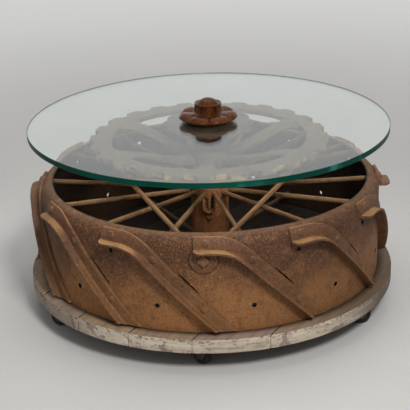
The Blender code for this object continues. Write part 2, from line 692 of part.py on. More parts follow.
def make_plinth():
    """A disc of edge-joined planks, with a groove along each seam and a socket for each castor stem."""
    disc = prism("plinth", circle(plinth_radius, DISC_SEGMENTS), PLINTH_THICKNESS,
                 Matrix.Translation((0.0, 0.0, plinth_bottom)))
    cutters = [prism("bore", circle(bored_radius(HOLE_SIDES), HOLE_SIDES), PLINTH_THICKNESS + 2 * OVERLAP,
                     Matrix.Translation((0.0, 0.0, plinth_bottom - OVERLAP)))]
    socket = around(STEM_DIAMETER / 2 + GAP, HOLE_SIDES)
    for azimuth in castor_azimuths():
        centre = polar(castor_circle_radius, azimuth, plinth_bottom - OVERLAP)
        cutters.append(prism("socket", circle(socket, HOLE_SIDES), stem_length + GAP + OVERLAP,
                             Matrix.Translation(centre)))
    turn = Matrix.Rotation(math.radians(PLANK_DIRECTION), 4, "Z")
    groove_bottom = Matrix.Translation((0.0, 0.0, plinth_top - SEAM_DEPTH))
    first = -math.floor((plinth_radius + FIRST_SEAM_OFFSET) / PLANK_WIDTH)
    last = math.floor((plinth_radius - FIRST_SEAM_OFFSET) / PLANK_WIDTH)
    reach = plinth_radius + OVERLAP
    for index in range(first, last + 1):
        seam = -(FIRST_SEAM_OFFSET + PLANK_WIDTH * index)
        outline = box_outline(-reach, reach, seam - SEAM_WIDTH / 2, seam + SEAM_WIDTH / 2)
        cutters.append(prism("seam", outline, SEAM_DEPTH + OVERLAP, groove_bottom @ turn))
    return combine(disc, cutters, "DIFFERENCE")


def make_castor_fork():
    """A swivelling fork about its stem's axis; the wheel trails along +X and the axle is fixed across it."""
    half_gap = CASTOR_WHEEL_WIDTH / 2 + FORK_SIDE_CLEARANCE
    half_width = half_gap + FORK_THICKNESS
    heel = COLLAR_DIAMETER / 2
    toe = CASTOR_TRAIL + FORK_TOE_RADIUS
    crown = prism("castor_fork", box_outline(-heel, toe, -half_width, half_width), CROWN_THICKNESS,
                  Matrix.Translation((0.0, 0.0, crown_bottom)))
    collar_height = crown_top - OVERLAP / 2
    collar = prism("collar", circle(COLLAR_DIAMETER / 2, HOLE_SIDES),
                   plinth_bottom - GAP - collar_height, Matrix.Translation((0.0, 0.0, collar_height)))
    stem = prism("stem", circle(STEM_DIAMETER / 2, HOLE_SIDES), plinth_bottom + stem_length - collar_height,
                 Matrix.Translation((0.0, 0.0, collar_height)))
    foot = wheel_radius - FORK_TOE_RADIUS
    cheek = [(-heel, crown_top - CROWN_THICKNESS / 2), (CASTOR_TRAIL - FORK_TOE_RADIUS, foot),
             (toe, foot), (toe, crown_top - CROWN_THICKNESS / 2)]
    upright = Matrix.Rotation(math.pi / 2, 4, "X")
    cheeks = []
    for outer_face in (half_width, -half_gap):
        outwards = Matrix.Translation((0.0, outer_face, 0.0)) @ upright
        cheeks.append(prism("cheek", cheek, FORK_THICKNESS, outwards))
    across = Matrix.Translation((CASTOR_TRAIL, half_width - FORK_THICKNESS / 2, wheel_radius)) @ upright
    axle = prism("axle", circle(AXLE_DIAMETER / 2, HOLE_SIDES), 2 * half_width - FORK_THICKNESS, across)
    return combine(crown, [collar, stem, *cheeks, axle], "UNION")


def make_castor_wheel():
    """A wheel about the Y axis through its own origin."""
    bore = around(AXLE_DIAMETER / 2 + GAP, CASTOR_SEGMENTS)
    half = CASTOR_WHEEL_WIDTH / 2
    shoulder = wheel_radius - CASTOR_TREAD_CHAMFER / 2
    tread = half - CASTOR_TREAD_CHAMFER
    profile = [(bore, -half), (shoulder, -half), (wheel_radius, -tread), (wheel_radius, tread),
               (shoulder, half), (bore, half)]
    wheel = turned("castor_wheel", profile, CASTOR_SEGMENTS)
    wheel.transform(Matrix.Rotation(math.pi / 2, 4, "X"))
    return wheel


def build():
    for leftover in list(bpy.data.objects):
        bpy.data.objects.remove(leftover)

    rust = make_material("rusty_steel", (0.20, 0.11, 0.06), 0.75, 0.3)
    ochre = make_material("ochre_rust", (0.33, 0.20, 0.10), 0.7, 0.3)
    iron = make_material("grey_cast_iron", (0.16, 0.13, 0.11), 0.6, 0.6)
    oiled = make_material("oiled_cast_iron", (0.10, 0.035, 0.02), 0.35, 0.4)
    glass = make_material("pale_green_glass", (0.80, 0.95, 0.92), 0.02, 0.0, transmission=1.0)
    wood = make_material("weathered_wood", (0.52, 0.46, 0.39), 0.85, 0.0)
    steel = make_material("castor_steel", (0.35, 0.34, 0.33), 0.4, 0.9)
    rubber = make_material("castor_rubber", (0.05, 0.05, 0.05), 0.7, 0.0)

    place("plinth", make_plinth(), wood)
    place("rim", make_rim(), rust)
    place("hub", make_hub(), oiled)
    place("gear_wheel", make_gear(), iron, azimuth=GEAR_AZIMUTH)
    place("glass_seat", make_seat(), iron)
    place("glass_top", make_glass(), glass)
    place("top_cap", make_cap(), oiled, azimuth=CAP_AZIMUTH)
    place("tie_rod", make_tie_rod(), steel)
    place("rim_bolt", make_rim_bolt(), rust, azimuth=GROUSER_AZIMUTH + UPPER_HOLE_TURN)

    grouser = make_grouser()
    for index in range(GROUSER_COUNT):
        azimuth = GROUSER_AZIMUTH + 360.0 * index / GROUSER_COUNT
        place(f"grouser_{index + 1:02d}", grouser, rust, azimuth=azimuth)

    upper_spoke = make_upper_spoke()
    for index in range(UPPER_SPOKE_COUNT):
        azimuth = UPPER_SPOKE_AZIMUTH + 360.0 * index / UPPER_SPOKE_COUNT
        place(f"upper_spoke_{index + 1:02d}", upper_spoke, ochre, azimuth=azimuth)

    lower_spoke = make_lower_spoke()
    for index in range(LOWER_SPOKE_COUNT):
        azimuth = LOWER_SPOKE_AZIMUTH + 360.0 * index / LOWER_SPOKE_COUNT
        place(f"lower_spoke_{index + 1}", lower_spoke, ochre, azimuth=azimuth)

    for pair in range(BRACE_PAIRS):
        for order, side in enumerate((-1, 1), start=1):
            place(f"gear_brace_{2 * pair + order}", make_brace(pair, side), ochre)

    fork_mesh = make_castor_fork()
    wheel_mesh = make_castor_wheel()
    for index, (azimuth, turn) in enumerate(zip(castor_azimuths(), CASTOR_TURNS), start=1):
        swivel = bpy.data.objects.new(f"castor_axis_{index}", None)
        swivel.location = polar(castor_circle_radius, azimuth, 0.0)
        swivel.rotation_euler = (0.0, 0.0, math.radians(turn))
        bpy.context.scene.collection.objects.link(swivel)
        place(f"castor_fork_{index}", fork_mesh, steel, parent=swivel)
        place(f"castor_wheel_{index}", wheel_mesh, rubber, (CASTOR_TRAIL, 0.0, wheel_radius), parent=swivel)


build()
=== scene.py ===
"""The looks of the tractor wheel coffee table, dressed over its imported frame.

Lengths are metres, +Z is up and the origin is on the floor under the wheel's axis. Azimuths are in
degrees, counter-clockwise from +X seen from above, so the front (-Y) is 270. Colours are written as
values from 0 to 255 and become linear light in shade().
"""

import json
from math import asin, ceil, cos, degrees, floor, hypot, pi, radians, sin, sqrt, tan

import bmesh
import bpy
from mathutils import Matrix, Vector, noise


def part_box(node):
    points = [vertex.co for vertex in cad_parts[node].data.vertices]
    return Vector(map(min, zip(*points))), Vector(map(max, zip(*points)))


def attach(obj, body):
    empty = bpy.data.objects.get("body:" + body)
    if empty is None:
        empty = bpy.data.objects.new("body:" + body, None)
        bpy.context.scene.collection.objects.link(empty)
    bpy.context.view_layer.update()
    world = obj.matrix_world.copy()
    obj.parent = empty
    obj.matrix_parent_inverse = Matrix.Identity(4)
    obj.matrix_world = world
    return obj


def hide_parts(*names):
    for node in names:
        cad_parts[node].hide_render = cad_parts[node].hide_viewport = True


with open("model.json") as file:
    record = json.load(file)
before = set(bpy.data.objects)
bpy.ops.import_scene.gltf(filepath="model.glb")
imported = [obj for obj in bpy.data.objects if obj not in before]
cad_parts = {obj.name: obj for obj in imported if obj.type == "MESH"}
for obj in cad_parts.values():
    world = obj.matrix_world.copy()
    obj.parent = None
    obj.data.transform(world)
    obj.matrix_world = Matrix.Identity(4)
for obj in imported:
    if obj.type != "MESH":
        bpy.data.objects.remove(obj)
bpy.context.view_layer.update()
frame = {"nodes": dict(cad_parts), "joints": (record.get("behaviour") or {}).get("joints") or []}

# Camera, fitted to the photo: position, then angles in degrees
CAMERA_PLACE = (0.0, -3.2765, 1.5469)
CAMERA_DOWN = 21.402
CAMERA_LEFT = 0.265
CAMERA_ROLL = -1.491
LENS = 108.5
SENSOR = 36.0
FAR_CLIP = 200.0

# Rim
RIM_WALL = 0.006
SHOULDER_RADIUS = 0.030
LIP_WIDTH = 0.006
RIM_EDGE = 0.002
RIM_SEGMENTS = 480
RIM_RINGS = 16
RIM_DENT = 0.0016
RIM_DENT_SIZES = (0.16, 0.06)
RIM_SAG = 0.0010
RIM_SAG_SIZE = 0.12
RIM_SAG_START = 0.15
HOLE_DIAMETER = 0.013
UPPER_HOLE = (3.0, 0.203)
LOWER_HOLE = (18.2, 0.070)
# The grooves, lined in black, stand for the shadow line under each flange's edge: painted shade.
GROOVE_TURNS = (24.8, 31.4)
GROOVE_HEIGHTS = (0.167, 0.109)
GROOVE_WIDTH = 0.0042
GROOVE_DEPTH = 0.0036
GROOVE_STEPS = 8
GROOVE_TAPER = 0.96
GROOVE_SLANT = 0.7
GROOVE_TOLERANCE = 0.0002
HOLE_WALL_FACING = 0.8

# Grousers
GROUSER_COUNT = 12
GROUSER_AZIMUTH = 264.6
GROUSER_DROP = 0.038
GROUSER_FLANGE = 0.036
GROUSER_LEG = 0.030
GROUSER_LEG_END = 0.025
GROUSER_THICKNESS = 0.006
GROUSER_HEAD = 0.050
GROUSER_BEND_RADIUS = 0.100
GROUSER_SLOPE = 46.0
GROUSER_END_HEIGHT = 0.006
GROUSER_LIFT = 0.00076
GROUSER_SINK = 0.003
GROUSER_EDGE = 0.0012
GROUSER_FILLET = 0.0045
GROUSER_FOOT_RISE = 0.008
GROUSER_CORNER = 0.020
GROUSER_WEAR = 0.0011
GROUSER_WEAR_SIZES = (0.05, 0.016)
GROUSER_WEAR_HEIGHTS = (0.004, 0.012)
HEAD_CROWDING = 1.6
HEAD_STEPS = 14
BEND_STEPS = 18
RUN_STEPS = 34
RIVET_ARCS = (0.030, 0.149, 0.272)
RIVET_RADIUS = 0.0095
RIVET_HEIGHT = 0.0032
RIVET_BED = 0.001
RIVET_RISE = 0.002
RIVET_STEPS = 6

# Bolt on its plate
PLATE_RADIUS = 0.036
PLATE_THICKNESS = 0.003
PLATE_SHADOW = 0.0013
PLATE_LIFT = 0.0003
PLATE_EDGE = 0.0008
PLATE_SIDES = 72
PLATE_ROOM_ABOVE = 0.0227
BOLT_WIDTH = 0.024
BOLT_HEIGHT = 0.009
BOLT_EDGE = 0.0022

# Hub
HUB_RADIUS = 0.0535
FLANGE_RADIUS = 0.062
FLANGE_HALF = 0.014
FLANGE_EDGE = 0.004
FLANGE_INSET = 0.003
NECK_RADIUS = 0.045
NECK_HEIGHT = 0.030
NECK_EDGE = 0.002
FOOT_RADIUS = 0.085
FOOT_HEIGHT = 0.010
FOOT_EDGES = (0.002, 0.003)
FOOT_FILLET = 0.009
HUB_SEGMENTS = 96
HUB_WEAR = 0.0006
HUB_WEAR_SIZE = 0.02
HUB_SHRINK = 0.0004
SPOKE_HEIGHTS = (0.1418, 0.3193)
LUG_AZIMUTH = 268.0
LUG_HEIGHT = 0.2843
LUG_RADIUS = 0.019
LUG_WALL = 0.0065
LUG_REACH = 0.022
LUG_RISE = 0.019
LUG_ROOT = 0.012
LUG_EDGE = 0.0018
NIPPLE_RADIUS = 0.008
NIPPLE_EDGE = 0.003
NIPPLE_HALF = 0.006
NIPPLE_DROP = 0.036
PIN_RADIUS = 0.0042
PIN_LENGTH = 0.036
TIE_BORE = 0.0086

# Gear wheel
GEAR_TEETH = 24
GEAR_ARMS = 6
GEAR_AZIMUTH = 268.0
GEAR_TIP_RADIUS = 0.332
GEAR_ROOT_RADIUS = 0.317
GEAR_INNER_RADIUS = 0.271
TOOTH_LAND = 0.46
TOOTH_FLANK = 0.10
GEAR_RING = (0.4426, 0.4586)
GEAR_HUB_RADIUS = 0.060
ARM_WIDTH = 0.044
ARM_FLARE = 0.080
ARM_FLARE_LENGTH = 0.060
ARM_THICKNESS = 0.020
ARM_END_THICKNESS = 0.0105
ARM_HUB_TOP = 0.4116
ARM_LAP = 0.020
ARM_START = 0.6
ARM_INSET = 0.003
ARM_STEPS = 40
ARM_CROWN = ((1.0, 0.004), (0.80, 0.0012), (0.40, 0.0))
GEAR_STEPS = 720
GEAR_SEAT_GAP = 0.0003
GEAR_VOXEL = 0.0026

# Glass seat: its tables give a radius or inset, then a rise or drop, then a share of the lobes
SEAT_LOBES = 12
SEAT_LOBE_DEPTH = 0.009
SEAT_SEGMENTS = 240
SEAT_NECK = ((0.050, 0.0), (0.050, 0.011), (0.044, 0.017), (0.038, 0.024), (0.038, 0.039), (0.042, 0.045))
SEAT_FLARE = ((0.060, 0.052, 0.2), (0.085, 0.056, 0.5))
SEAT_UNDERSIDE = ((0.012, 0.059, 0.9), (0.002, 0.062, 1.0), (0.0, 0.065, 1.0))
SEAT_EDGE = ((0.0, 0.005, 1.0), (0.0015, 0.0015, 1.0), (0.005, 0.0, 1.0), (0.030, 0.0, 0.5))

# Glass and cap
GLASS_HOLE_RADIUS = 0.056
GLASS_EDGE = 0.0012
GLASS_SEGMENTS = 512
CAP_PETALS = 7
CAP_CREASE = 272.0
CAP_SEGMENTS = 320
WINDOW_HALF = 13.0
WINDOW_DEPTH = 0.0085
WINDOW_HEIGHTS = (0.0255, 0.0480)
WINDOW_RADII = (0.036, 0.0405)
WINDOW_FADE = 0.003
WINDOW_SIDES = (2.5, 0.5)
CAP_SCALLOP = 0.0125
CAP_VALLEY = 0.0095
CAP_WEAR = 0.0005
CAP_WEAR_SIZE = 0.012
CAP_SPIGOT = ((0.0, 0.0), (0.053, 0.0), (0.055, 0.002))
# Petals as (radius, height above the glass, share of scallop, share of valley), the boss as (radius, height)
CAP_FLANGE = (
    (0.055, 0.0065, 0.0, 0.0), (0.062, 0.0070, 0.3, 0.0), (0.072, 0.0078, 0.8, 0.0),
    (0.0790, 0.0095, 1.0, 0.0), (0.0818, 0.0120, 1.0, 0.1), (0.0827, 0.0147, 1.0, 0.3),
    (0.0821, 0.0169, 1.0, 0.5), (0.0788, 0.0213, 1.0, 0.8), (0.0748, 0.0244, 0.9, 1.0),
    (0.0695, 0.0265, 0.8, 1.0), (0.0625, 0.0270, 0.6, 1.0), (0.0555, 0.0265, 0.4, 0.9),
    (0.0490, 0.0255, 0.2, 0.7), (0.0440, 0.0246, 0.0, 0.4), (0.0415, 0.0246, 0.0, 0.0))
CAP_BOSS = (
    (0.0398, 0.0255), (0.0390, 0.0275), (0.0384, 0.0300), (0.0378, 0.0340), (0.0374, 0.0390),
    (0.0372, 0.0440), (0.0373, 0.0470), (0.0376, 0.0490), (0.0377, 0.0508), (0.0372, 0.0518),
    (0.0362, 0.0524), (0.0346, 0.0524), (0.0334, 0.0516), (0.0323, 0.0508), (0.0311, 0.0506),
    (0.0299, 0.0513), (0.0281, 0.0535), (0.0255, 0.0561), (0.0222, 0.0587), (0.0182, 0.0611),
    (0.0138, 0.0630), (0.0092, 0.0643), (0.0045, 0.0650), (0.0, 0.0652))

# Plinth
PLANK_DIRECTION = 60.0
PLANK_WIDTH = 0.164
FIRST_SEAM = 0.043
PLANK_GAP = 0.0012
PLANK_EDGE = 0.0030
PLANK_WEAR = 0.0012
PLANK_WEAR_SIZE = 0.03
SAME_POINT = 1e-5
PALE_AZIMUTH = 235.0
ARC_STEP = 1.2

# Castors
CASTOR_COUNT = 6
TYRE_RADIUS = 0.025
TYRE_WIDTH = 0.020
TYRE_EDGE = 0.004
TYRE_SHOULDER = 0.0042
TYRE_SEGMENTS = 64
TYRE_FACE = ((0.0075, 0.0), (0.0085, 0.0015), (0.0160, 0.0020), (0.0175, 0.0004), (0.0215, 0.0003))
AXLE_RADIUS = 0.004
AXLE_CLEARANCE = 0.0004
STEM_RADIUS = 0.0055
STEM_CLEARANCE = 0.0004
SOCKET_OVERRUN = 0.010

# Room: the light that falls on things, the brightness that gloss and glass show, and the far floor's own
ROOM_LIGHT = 0.27
ROOM_SEEN = 0.80
FLOOR_GLOW = 0.26
FLOOR_REACH = 30.0
WHITE = (1.0, 1.0, 1.0, 1.0)
LAMP_AIM = (0.0, 0.0, 0.25)
# Lamps as (name, place, width, power)
LAMPS = (
    ("key", (0.95, -2.9, 3.1), 0.8, 102.0), ("fill", (-2.2, -2.6, 2.2), 2.6, 5.0),
    ("top", (0.0, 0.6, 3.8), 3.0, 40.0))

# Colours that several looks share, and the heights between which the warm brown fades out
# DRUM_SHADE is painted shade: near-black laid on faces inside the drum and on parts at its back.
DRUM_SHADE = (18, 12, 7)
SEAM = (58, 46, 37)
STAIN = (56, 38, 26)
WARM_HEIGHTS = (0.12, 0.34)

# Meshes, then round bars
SHARP_ANGLE = 38.0
CUTTER_SIDES = 24
BAR_SIDES = 20
BAR_RINGS = 28
BAR_RADIUS = 0.007
BAR_WEAR = 0.0005
BAR_WEAR_SIZE = 0.03

rim_low, rim_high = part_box("rim")
rim_radius = rim_high.x
rim_bottom = rim_low.z
rim_top = rim_high.z
rim_height = rim_top - rim_bottom
shoulder_reach = rim_radius - SHOULDER_RADIUS
shoulder_rise = rim_height - SHOULDER_RADIUS
plinth_low, plinth_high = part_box("plinth")
plinth_radius = plinth_high.x
glass_low, glass_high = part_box("glass_top")
glass_radius = glass_high.x


def ring_point(radius, angle, height):
    """The point at a radius, an angle in radians and a height."""
    return Vector((radius * cos(angle), radius * sin(angle), height))


def polar(radius, azimuth, height):
    """The point at a radius, an azimuth in degrees and a height."""
    return ring_point(radius, radians(azimuth), height)


def arc(centre, radius, start, end, steps):
    """Points along an arc in a plane, between two angles in degrees."""
    points = []
    for step in range(steps + 1):
        angle = radians(start + (end - start) * step / steps)
        points.append((centre[0] + radius * cos(angle), centre[1] + radius * sin(angle)))
    return points


def circle(radius, sides=CUTTER_SIDES, centre=(0.0, 0.0)):
    """The corners of a regular polygon in a plane."""
    return arc(centre, radius, 0.0, 360.0 - 360.0 / sides, sides - 1)


def smooth_step(value, low, high):
    """0 below low, 1 above high and a smooth rise between."""
    share = min(max((value - low) / (high - low), 0.0), 1.0)
    return share * share * (3.0 - 2.0 * share)


def ripple(point, size):
    """Smooth noise between about -1 and 1, with features of a given size."""
    return noise.noise(point / size)


def skin(rings, wrap=False, caps=False):
    """Vertices and faces across rings of points; a ring of one point closes to a tip."""
    vertices = [point for ring in rings for point in ring]
    starts = []
    total = 0
    for ring in rings:
        starts.append(total)
        total += len(ring)
    count = max(len(ring) for ring in rings)

    def corner(ring, step):
        return starts[ring] + step % len(rings[ring])

    pairs = [(index, index + 1) for index in range(len(rings) - 1)]
    if wrap:
        pairs.append((len(rings) - 1, 0))
    faces = []
    for low, high in pairs:
        for step in range(count):
            corners = [corner(low, step), corner(low, step + 1), corner(high, step + 1), corner(high, step)]
            faces.append(list(dict.fromkeys(corners)))
    if caps:
        faces.append([corner(0, step) for step in range(count)])
        faces.append([corner(len(rings) - 1, step) for step in range(count)])
    return vertices, faces


def lathe(profile, segments, shift=None):
    """A turned shape about Z from (radius, height, ...) points in order round its section.

    A section that starts and ends on the axis is open there; any other closes on itself. shift(point, angle)
    may give a new radius and height for a profile point at an angle in radians.
    """
    rings = []
    for point in profile:
        ring = []
        for step in range(segments if point[0] > 0.0 else 1):
            angle = 2.0 * pi * step / segments
            radius, height = shift(point, angle) if shift else point[:2]
            ring.append(ring_point(radius, angle, height))
        rings.append(ring)
    return skin(rings, wrap=profile[0][0] > 0.0)


def prism(outline, low, high):
    """An outline in the XY plane extruded along Z."""
    rings = [[Vector((x, y, height)) for x, y in outline] for height in (low, high)]
    return skin(rings, caps=True)


def moved(shape, matrix):
    vertices, faces = shape
    return [matrix @ vertex for vertex in vertices], faces


def merged(shapes):
    """Several shapes as one list of vertices and faces."""
    vertices = []
    faces = []
    for some_vertices, some_faces in shapes:
        base = len(vertices)
        vertices += some_vertices
        faces += [[base + corner for corner in face] for face in some_faces]
    return vertices, faces


def make_mesh(shape, bevel=0.0):
    """A mesh with faces turned outwards; bevel rounds sharp edges by that width."""
    vertices, faces = shape
    mesh = bpy.data.meshes.new("shape")
    mesh.from_pydata([tuple(vertex) for vertex in vertices], [], faces)
    shell = bmesh.new()
    shell.from_mesh(mesh)
    bmesh.ops.recalc_face_normals(shell, faces=shell.faces)
    if bevel > 0.0:
        sharp = [edge for edge in shell.edges if edge.calc_face_angle(0.0) > radians(SHARP_ANGLE)]
        bmesh.ops.bevel(shell, geom=sharp, offset=bevel, segments=2, profile=0.5, affect="EDGES")
    shell.to_mesh(mesh)
    shell.free()
    return mesh


def add_object(name, data):
    thing = bpy.data.objects.new(name, data)
    bpy.context.scene.collection.objects.link(thing)
    return thing


def evaluated(mesh, add_modifiers):
    """The mesh after the modifiers that a function adds."""
    carrier = add_object("carrier", mesh)
    add_modifiers(carrier)
    bpy.context.view_layer.update()
    graph = bpy.context.evaluated_depsgraph_get()
    result = bpy.data.meshes.new_from_object(carrier.evaluated_get(graph))
    bpy.data.objects.remove(carrier)
    return result


def carved(mesh, cutter_shape):
    """The mesh with a cutter's shape taken out of it."""
    cutter = add_object("cutter", make_mesh(cutter_shape))

    def add_cut(carrier):
        cut = carrier.modifiers.new("Cut", "BOOLEAN")
        cut.operation = "DIFFERENCE"
        cut.solver = "EXACT"
        cut.object = cutter

    result = evaluated(mesh, add_cut)
    bpy.data.objects.remove(cutter)
    return result


def show(name, mesh, materials, replaced=(), body="table"):
    """Makes a piece from a mesh, riding on a body and standing for CAD nodes."""
    mesh.shade_smooth()
    mesh.set_sharp_from_angle(angle=radians(SHARP_ANGLE))
    mesh.materials.clear()
    for material in materials:
        mesh.materials.append(material)
    mesh.name = name
    piece = add_object(name, mesh)
    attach(piece, body)
    if replaced:
        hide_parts(*replaced)
    return piece


def shade(red, green, blue):
    """A colour given as values from 0 to 255, in linear light."""
    linear = []
    for value in (red, green, blue):
        share = value / 255.0
        linear.append(share / 12.92 if share <= 0.04045 else ((share + 0.055) / 1.055) ** 2.4)
    return (*linear, 1.0)


class Graph:
    """Adds nodes to a tree. What feeds an input is a plain value or another node's output."""

    def __init__(self, tree):
        self.nodes = tree.nodes
        self.links = tree.links

    def feed(self, socket, source):
        if isinstance(source, bpy.types.NodeSocket):
            self.links.new(source, socket)
        else:
            socket.default_value = source

    def add(self, kind, output, sources, **settings):
        """Adds a node with these settings and inputs, and gives back one of its outputs."""
        node = self.nodes.new(f"ShaderNode{kind}")
        for name, value in settings.items():
            setattr(node, name, value)
        for name, source in sources.items():
            self.feed(node.inputs[name], source)
        return node.outputs[output]

    def calc(self, operation, first, second=0.0):
        return self.add("Math", 0, {0: first, 1: second}, operation=operation)

    def times(self, first, second):
        return self.calc("MULTIPLY", first, second)

    def seen(self):
        """1 for what the camera sees, in gloss or glass too, and 0 for light that falls on things."""
        paths = self.nodes.new("ShaderNodeLightPath").outputs
        seen = self.calc("MAXIMUM", paths["Is Camera Ray"], paths["Is Glossy Ray"])
        return self.calc("MAXIMUM", seen, paths["Is Transmission Ray"])


class Shading(Graph):
    """Builds one procedural material; most methods add a node and give back its output."""

    def __init__(self, name):
        self.material = bpy.data.materials.new(name)
        self.material.use_nodes = True
        super().__init__(self.material.node_tree)
        self.shader = self.nodes["Principled BSDF"]
        self.place = self.nodes.new("ShaderNodeTexCoord").outputs["Object"]
        geometry = self.nodes.new("ShaderNodeNewGeometry").outputs
        self.normal = geometry["Normal"]
        self.edge = geometry["Pointiness"]
        self.relief = None

    def vector(self, operation, first, second, output="Value"):
        return self.add("VectorMath", output, {0: first, 1: second}, operation=operation)

    def level(self):
        """The place in the horizontal plane, with its height taken out."""
        return self.vector("MULTIPLY", self.place, (1.0, 1.0, 0.0), "Vector")

    def radius(self):
        """The distance from the wheel's axis."""
        return self.vector("LENGTH", self.level(), (0.0, 0.0, 0.0))

    def outward(self):
        """How far a face looks away from the wheel's axis: below zero on inner faces."""
        return self.vector("DOT_PRODUCT", self.normal, self.level())

    def part(self, axis, vector=None):
        return self.add("SeparateXYZ", axis, {0: vector or self.place})

    def grained(self, sizes, turn=0.0):
        """Coordinates turned about Z and divided by a feature size for each axis."""
        sources = {"Vector": self.place, "Rotation": (0.0, 0.0, radians(turn)), "Scale": sizes}
        return self.add("Mapping", "Vector", sources, vector_type="TEXTURE")

    def noise(self, scale, detail, roughness, where=None, distortion=0.0):
        sources = {"Vector": where or self.place, "Scale": scale, "Detail": detail, "Roughness": roughness,
                   "Distortion": distortion}
        return self.add("TexNoise", "Fac", sources)

    def ramp(self, value, low, high, bottom=0.0, top=1.0):
        """bottom below low, top above high and a smooth change between."""
        sources = {"Value": value, "From Min": low, "From Max": high, "To Min": bottom, "To Max": top}
        return self.add("MapRange", "Result", sources, interpolation_type="SMOOTHSTEP")

    def mix(self, share, first, second):
        """A mix of two colours, each another node's output or values from 0 to 255."""
        first, second = (shade(*side) if isinstance(side, tuple) else side for side in (first, second))
        return self.add("Mix", 2, {0: share, 6: first, 7: second}, data_type="RGBA")

    def marked(self, colour, *marks):
        """The colour under marks, each a colour, a value and the value's ramp to a share."""
        for mark, value, *limits in marks:
            colour = self.mix(self.ramp(value, *limits), colour, mark)
        return colour

    def bump(self, height, distance, strength):
        sources = {"Height": height, "Distance": distance, "Strength": strength}
        if self.relief:
            sources["Normal"] = self.relief
        self.relief = self.add("Bump", "Normal", sources)

    def finish(self, colour, roughness, metallic=0.0, shine=0.5):
        sources = {"Base Color": colour, "Roughness": roughness, "Metallic": metallic,
                   "Specular IOR Level": shine}
        if self.relief:
            sources["Normal"] = self.relief
        for name, source in sources.items():
            self.feed(self.shader.inputs[name], source)
        return self.material


def rusty(name, colours, top_dust_and_light_share, warm_below=None, gloss=0.62, pits=0.0007, shine=0.18, inside=None,
          shade_behind=None, patina=None, side_shade=0.0, dirt_and_shade=0.75, tint=None, top_dust_and_light_fades=None):
    """Rusted iron: two browns, dark stains, orange blooms, specks, pits, tops paled by dust and painted
    light.

    warm_below gives the heights between which the warm brown fades out, inside the colour of faces that look
    at the axis as painted shade, shade_behind the depths between which painted shade takes over, patina a
    colour in patches on faces that look away from the axis, side_shade the share of stain at the right, with
    a fixed share at the far left, as painted shade on the sides, dirt_and_shade its share in hollows as dirt
    and painted shade, tint the colour of the gloss, and top_dust_and_light_fades the depths where the paled
    top faces fade.
    """
    cool, warm, stain, bloom, dust_and_top_light = colours
    look = Shading(name)
    drift = look.noise(7.0, 5.0, 0.6, distortion=0.4)
    if warm_below:
        fall = look.ramp(look.part("Z"), *warm_below, 1.0, 0.0)
        share = look.ramp(look.calc("ADD", look.times(fall, 0.55), drift), 0.50, 1.02)
    else:
        share = look.ramp(drift, 0.38, 0.62)
    base = look.mix(share, cool, warm)
    patches = look.noise(26.0, 7.0, 0.68, distortion=0.5)
    streaks = look.noise(1.0, 4.0, 0.6, look.grained((0.012, 0.012, 0.11)))
    blots = look.noise(80.0, 4.0, 0.62)
    grit = look.noise(230.0, 3.0, 0.6)
    colour = look.marked(
        base, (stain, patches, 0.52, 0.70, 0.0, 0.55), (bloom, patches, 0.30, 0.46, 0.45, 0.0),
        (stain, streaks, 0.54, 0.72, 0.0, 0.25), (stain, blots, 0.54, 0.70, 0.0, 0.40),
        (bloom, blots, 0.32, 0.47, 0.40, 0.0), (stain, grit, 0.52, 0.64, 0.0, 0.50),
        (bloom, grit, 0.36, 0.48, 0.45, 0.0))
    colour = look.mix(0.15, colour, base)
    colour = look.marked(colour, (dust_and_top_light, look.noise(130.0, 2.0, 0.5), 0.71, 0.77, 0.0, 0.60))
    # Faces that look up are paled by dust and painted light from above; top_dust_and_light_fades thins it
    # further back as painted shade.
    level = look.ramp(look.part("Z", look.normal), 0.70, 0.98)
    cover = look.times(level, look.ramp(look.noise(34.0, 5.0, 0.6), 0.25, 0.55, 0.35, 1.0))
    if top_dust_and_light_fades:
        cover = look.times(cover, look.ramp(look.part("Y"), *top_dust_and_light_fades, 1.0, 0.25))
    colour = look.mix(look.times(cover, top_dust_and_light_share), colour, dust_and_top_light)
    # Painted shade: stain darkens the right side and, by a fixed share, the far left end.
    if side_shade:
        across = look.part("X")
        colour = look.marked(colour, (stain, across, 0.0, 0.34, 0.0, side_shade),
                             (stain, across, -0.47, -0.34, 0.50, 0.0))
    # Dirt and painted shade in hollows, where pointiness is low.
    colour = look.marked(colour, (stain, look.edge, 0.42, 0.485, dirt_and_shade, 0.0))
    worn = look.times(look.ramp(look.edge, 0.52, 0.60), look.ramp(patches, 0.35, 0.60, 0.40, 0.10))
    colour = look.mix(worn, colour, dust_and_top_light)
    # Painted shade: faces that look at the axis, inside the drum, take the inside colour.
    if inside:
        colour = look.marked(colour, (inside, look.outward(), -0.12, 0.04, 0.93, 0.0))
    # Painted shade: DRUM_SHADE takes over further back.
    if shade_behind:
        colour = look.marked(colour, (DRUM_SHADE, look.part("Y"), *shade_behind, 0.0, 0.52))
    if patina:
        spots = look.ramp(look.noise(24.0, 4.0, 0.6), 0.50, 0.60, 0.0, 0.60)
        spots = look.times(look.ramp(look.outward(), 0.20, 0.28), spots)
        colour = look.mix(spots, colour, patina)
    look.bump(look.noise(58.0, 6.0, 0.62), pits * 1.6, 0.8)
    look.bump(grit, pits, 0.6)
    if tint:
        look.shader.inputs["Specular Tint"].default_value = shade(*tint)
    return look.finish(colour, look.ramp(patches, 0.3, 0.7, gloss - 0.08, gloss + 0.14), shine=shine)


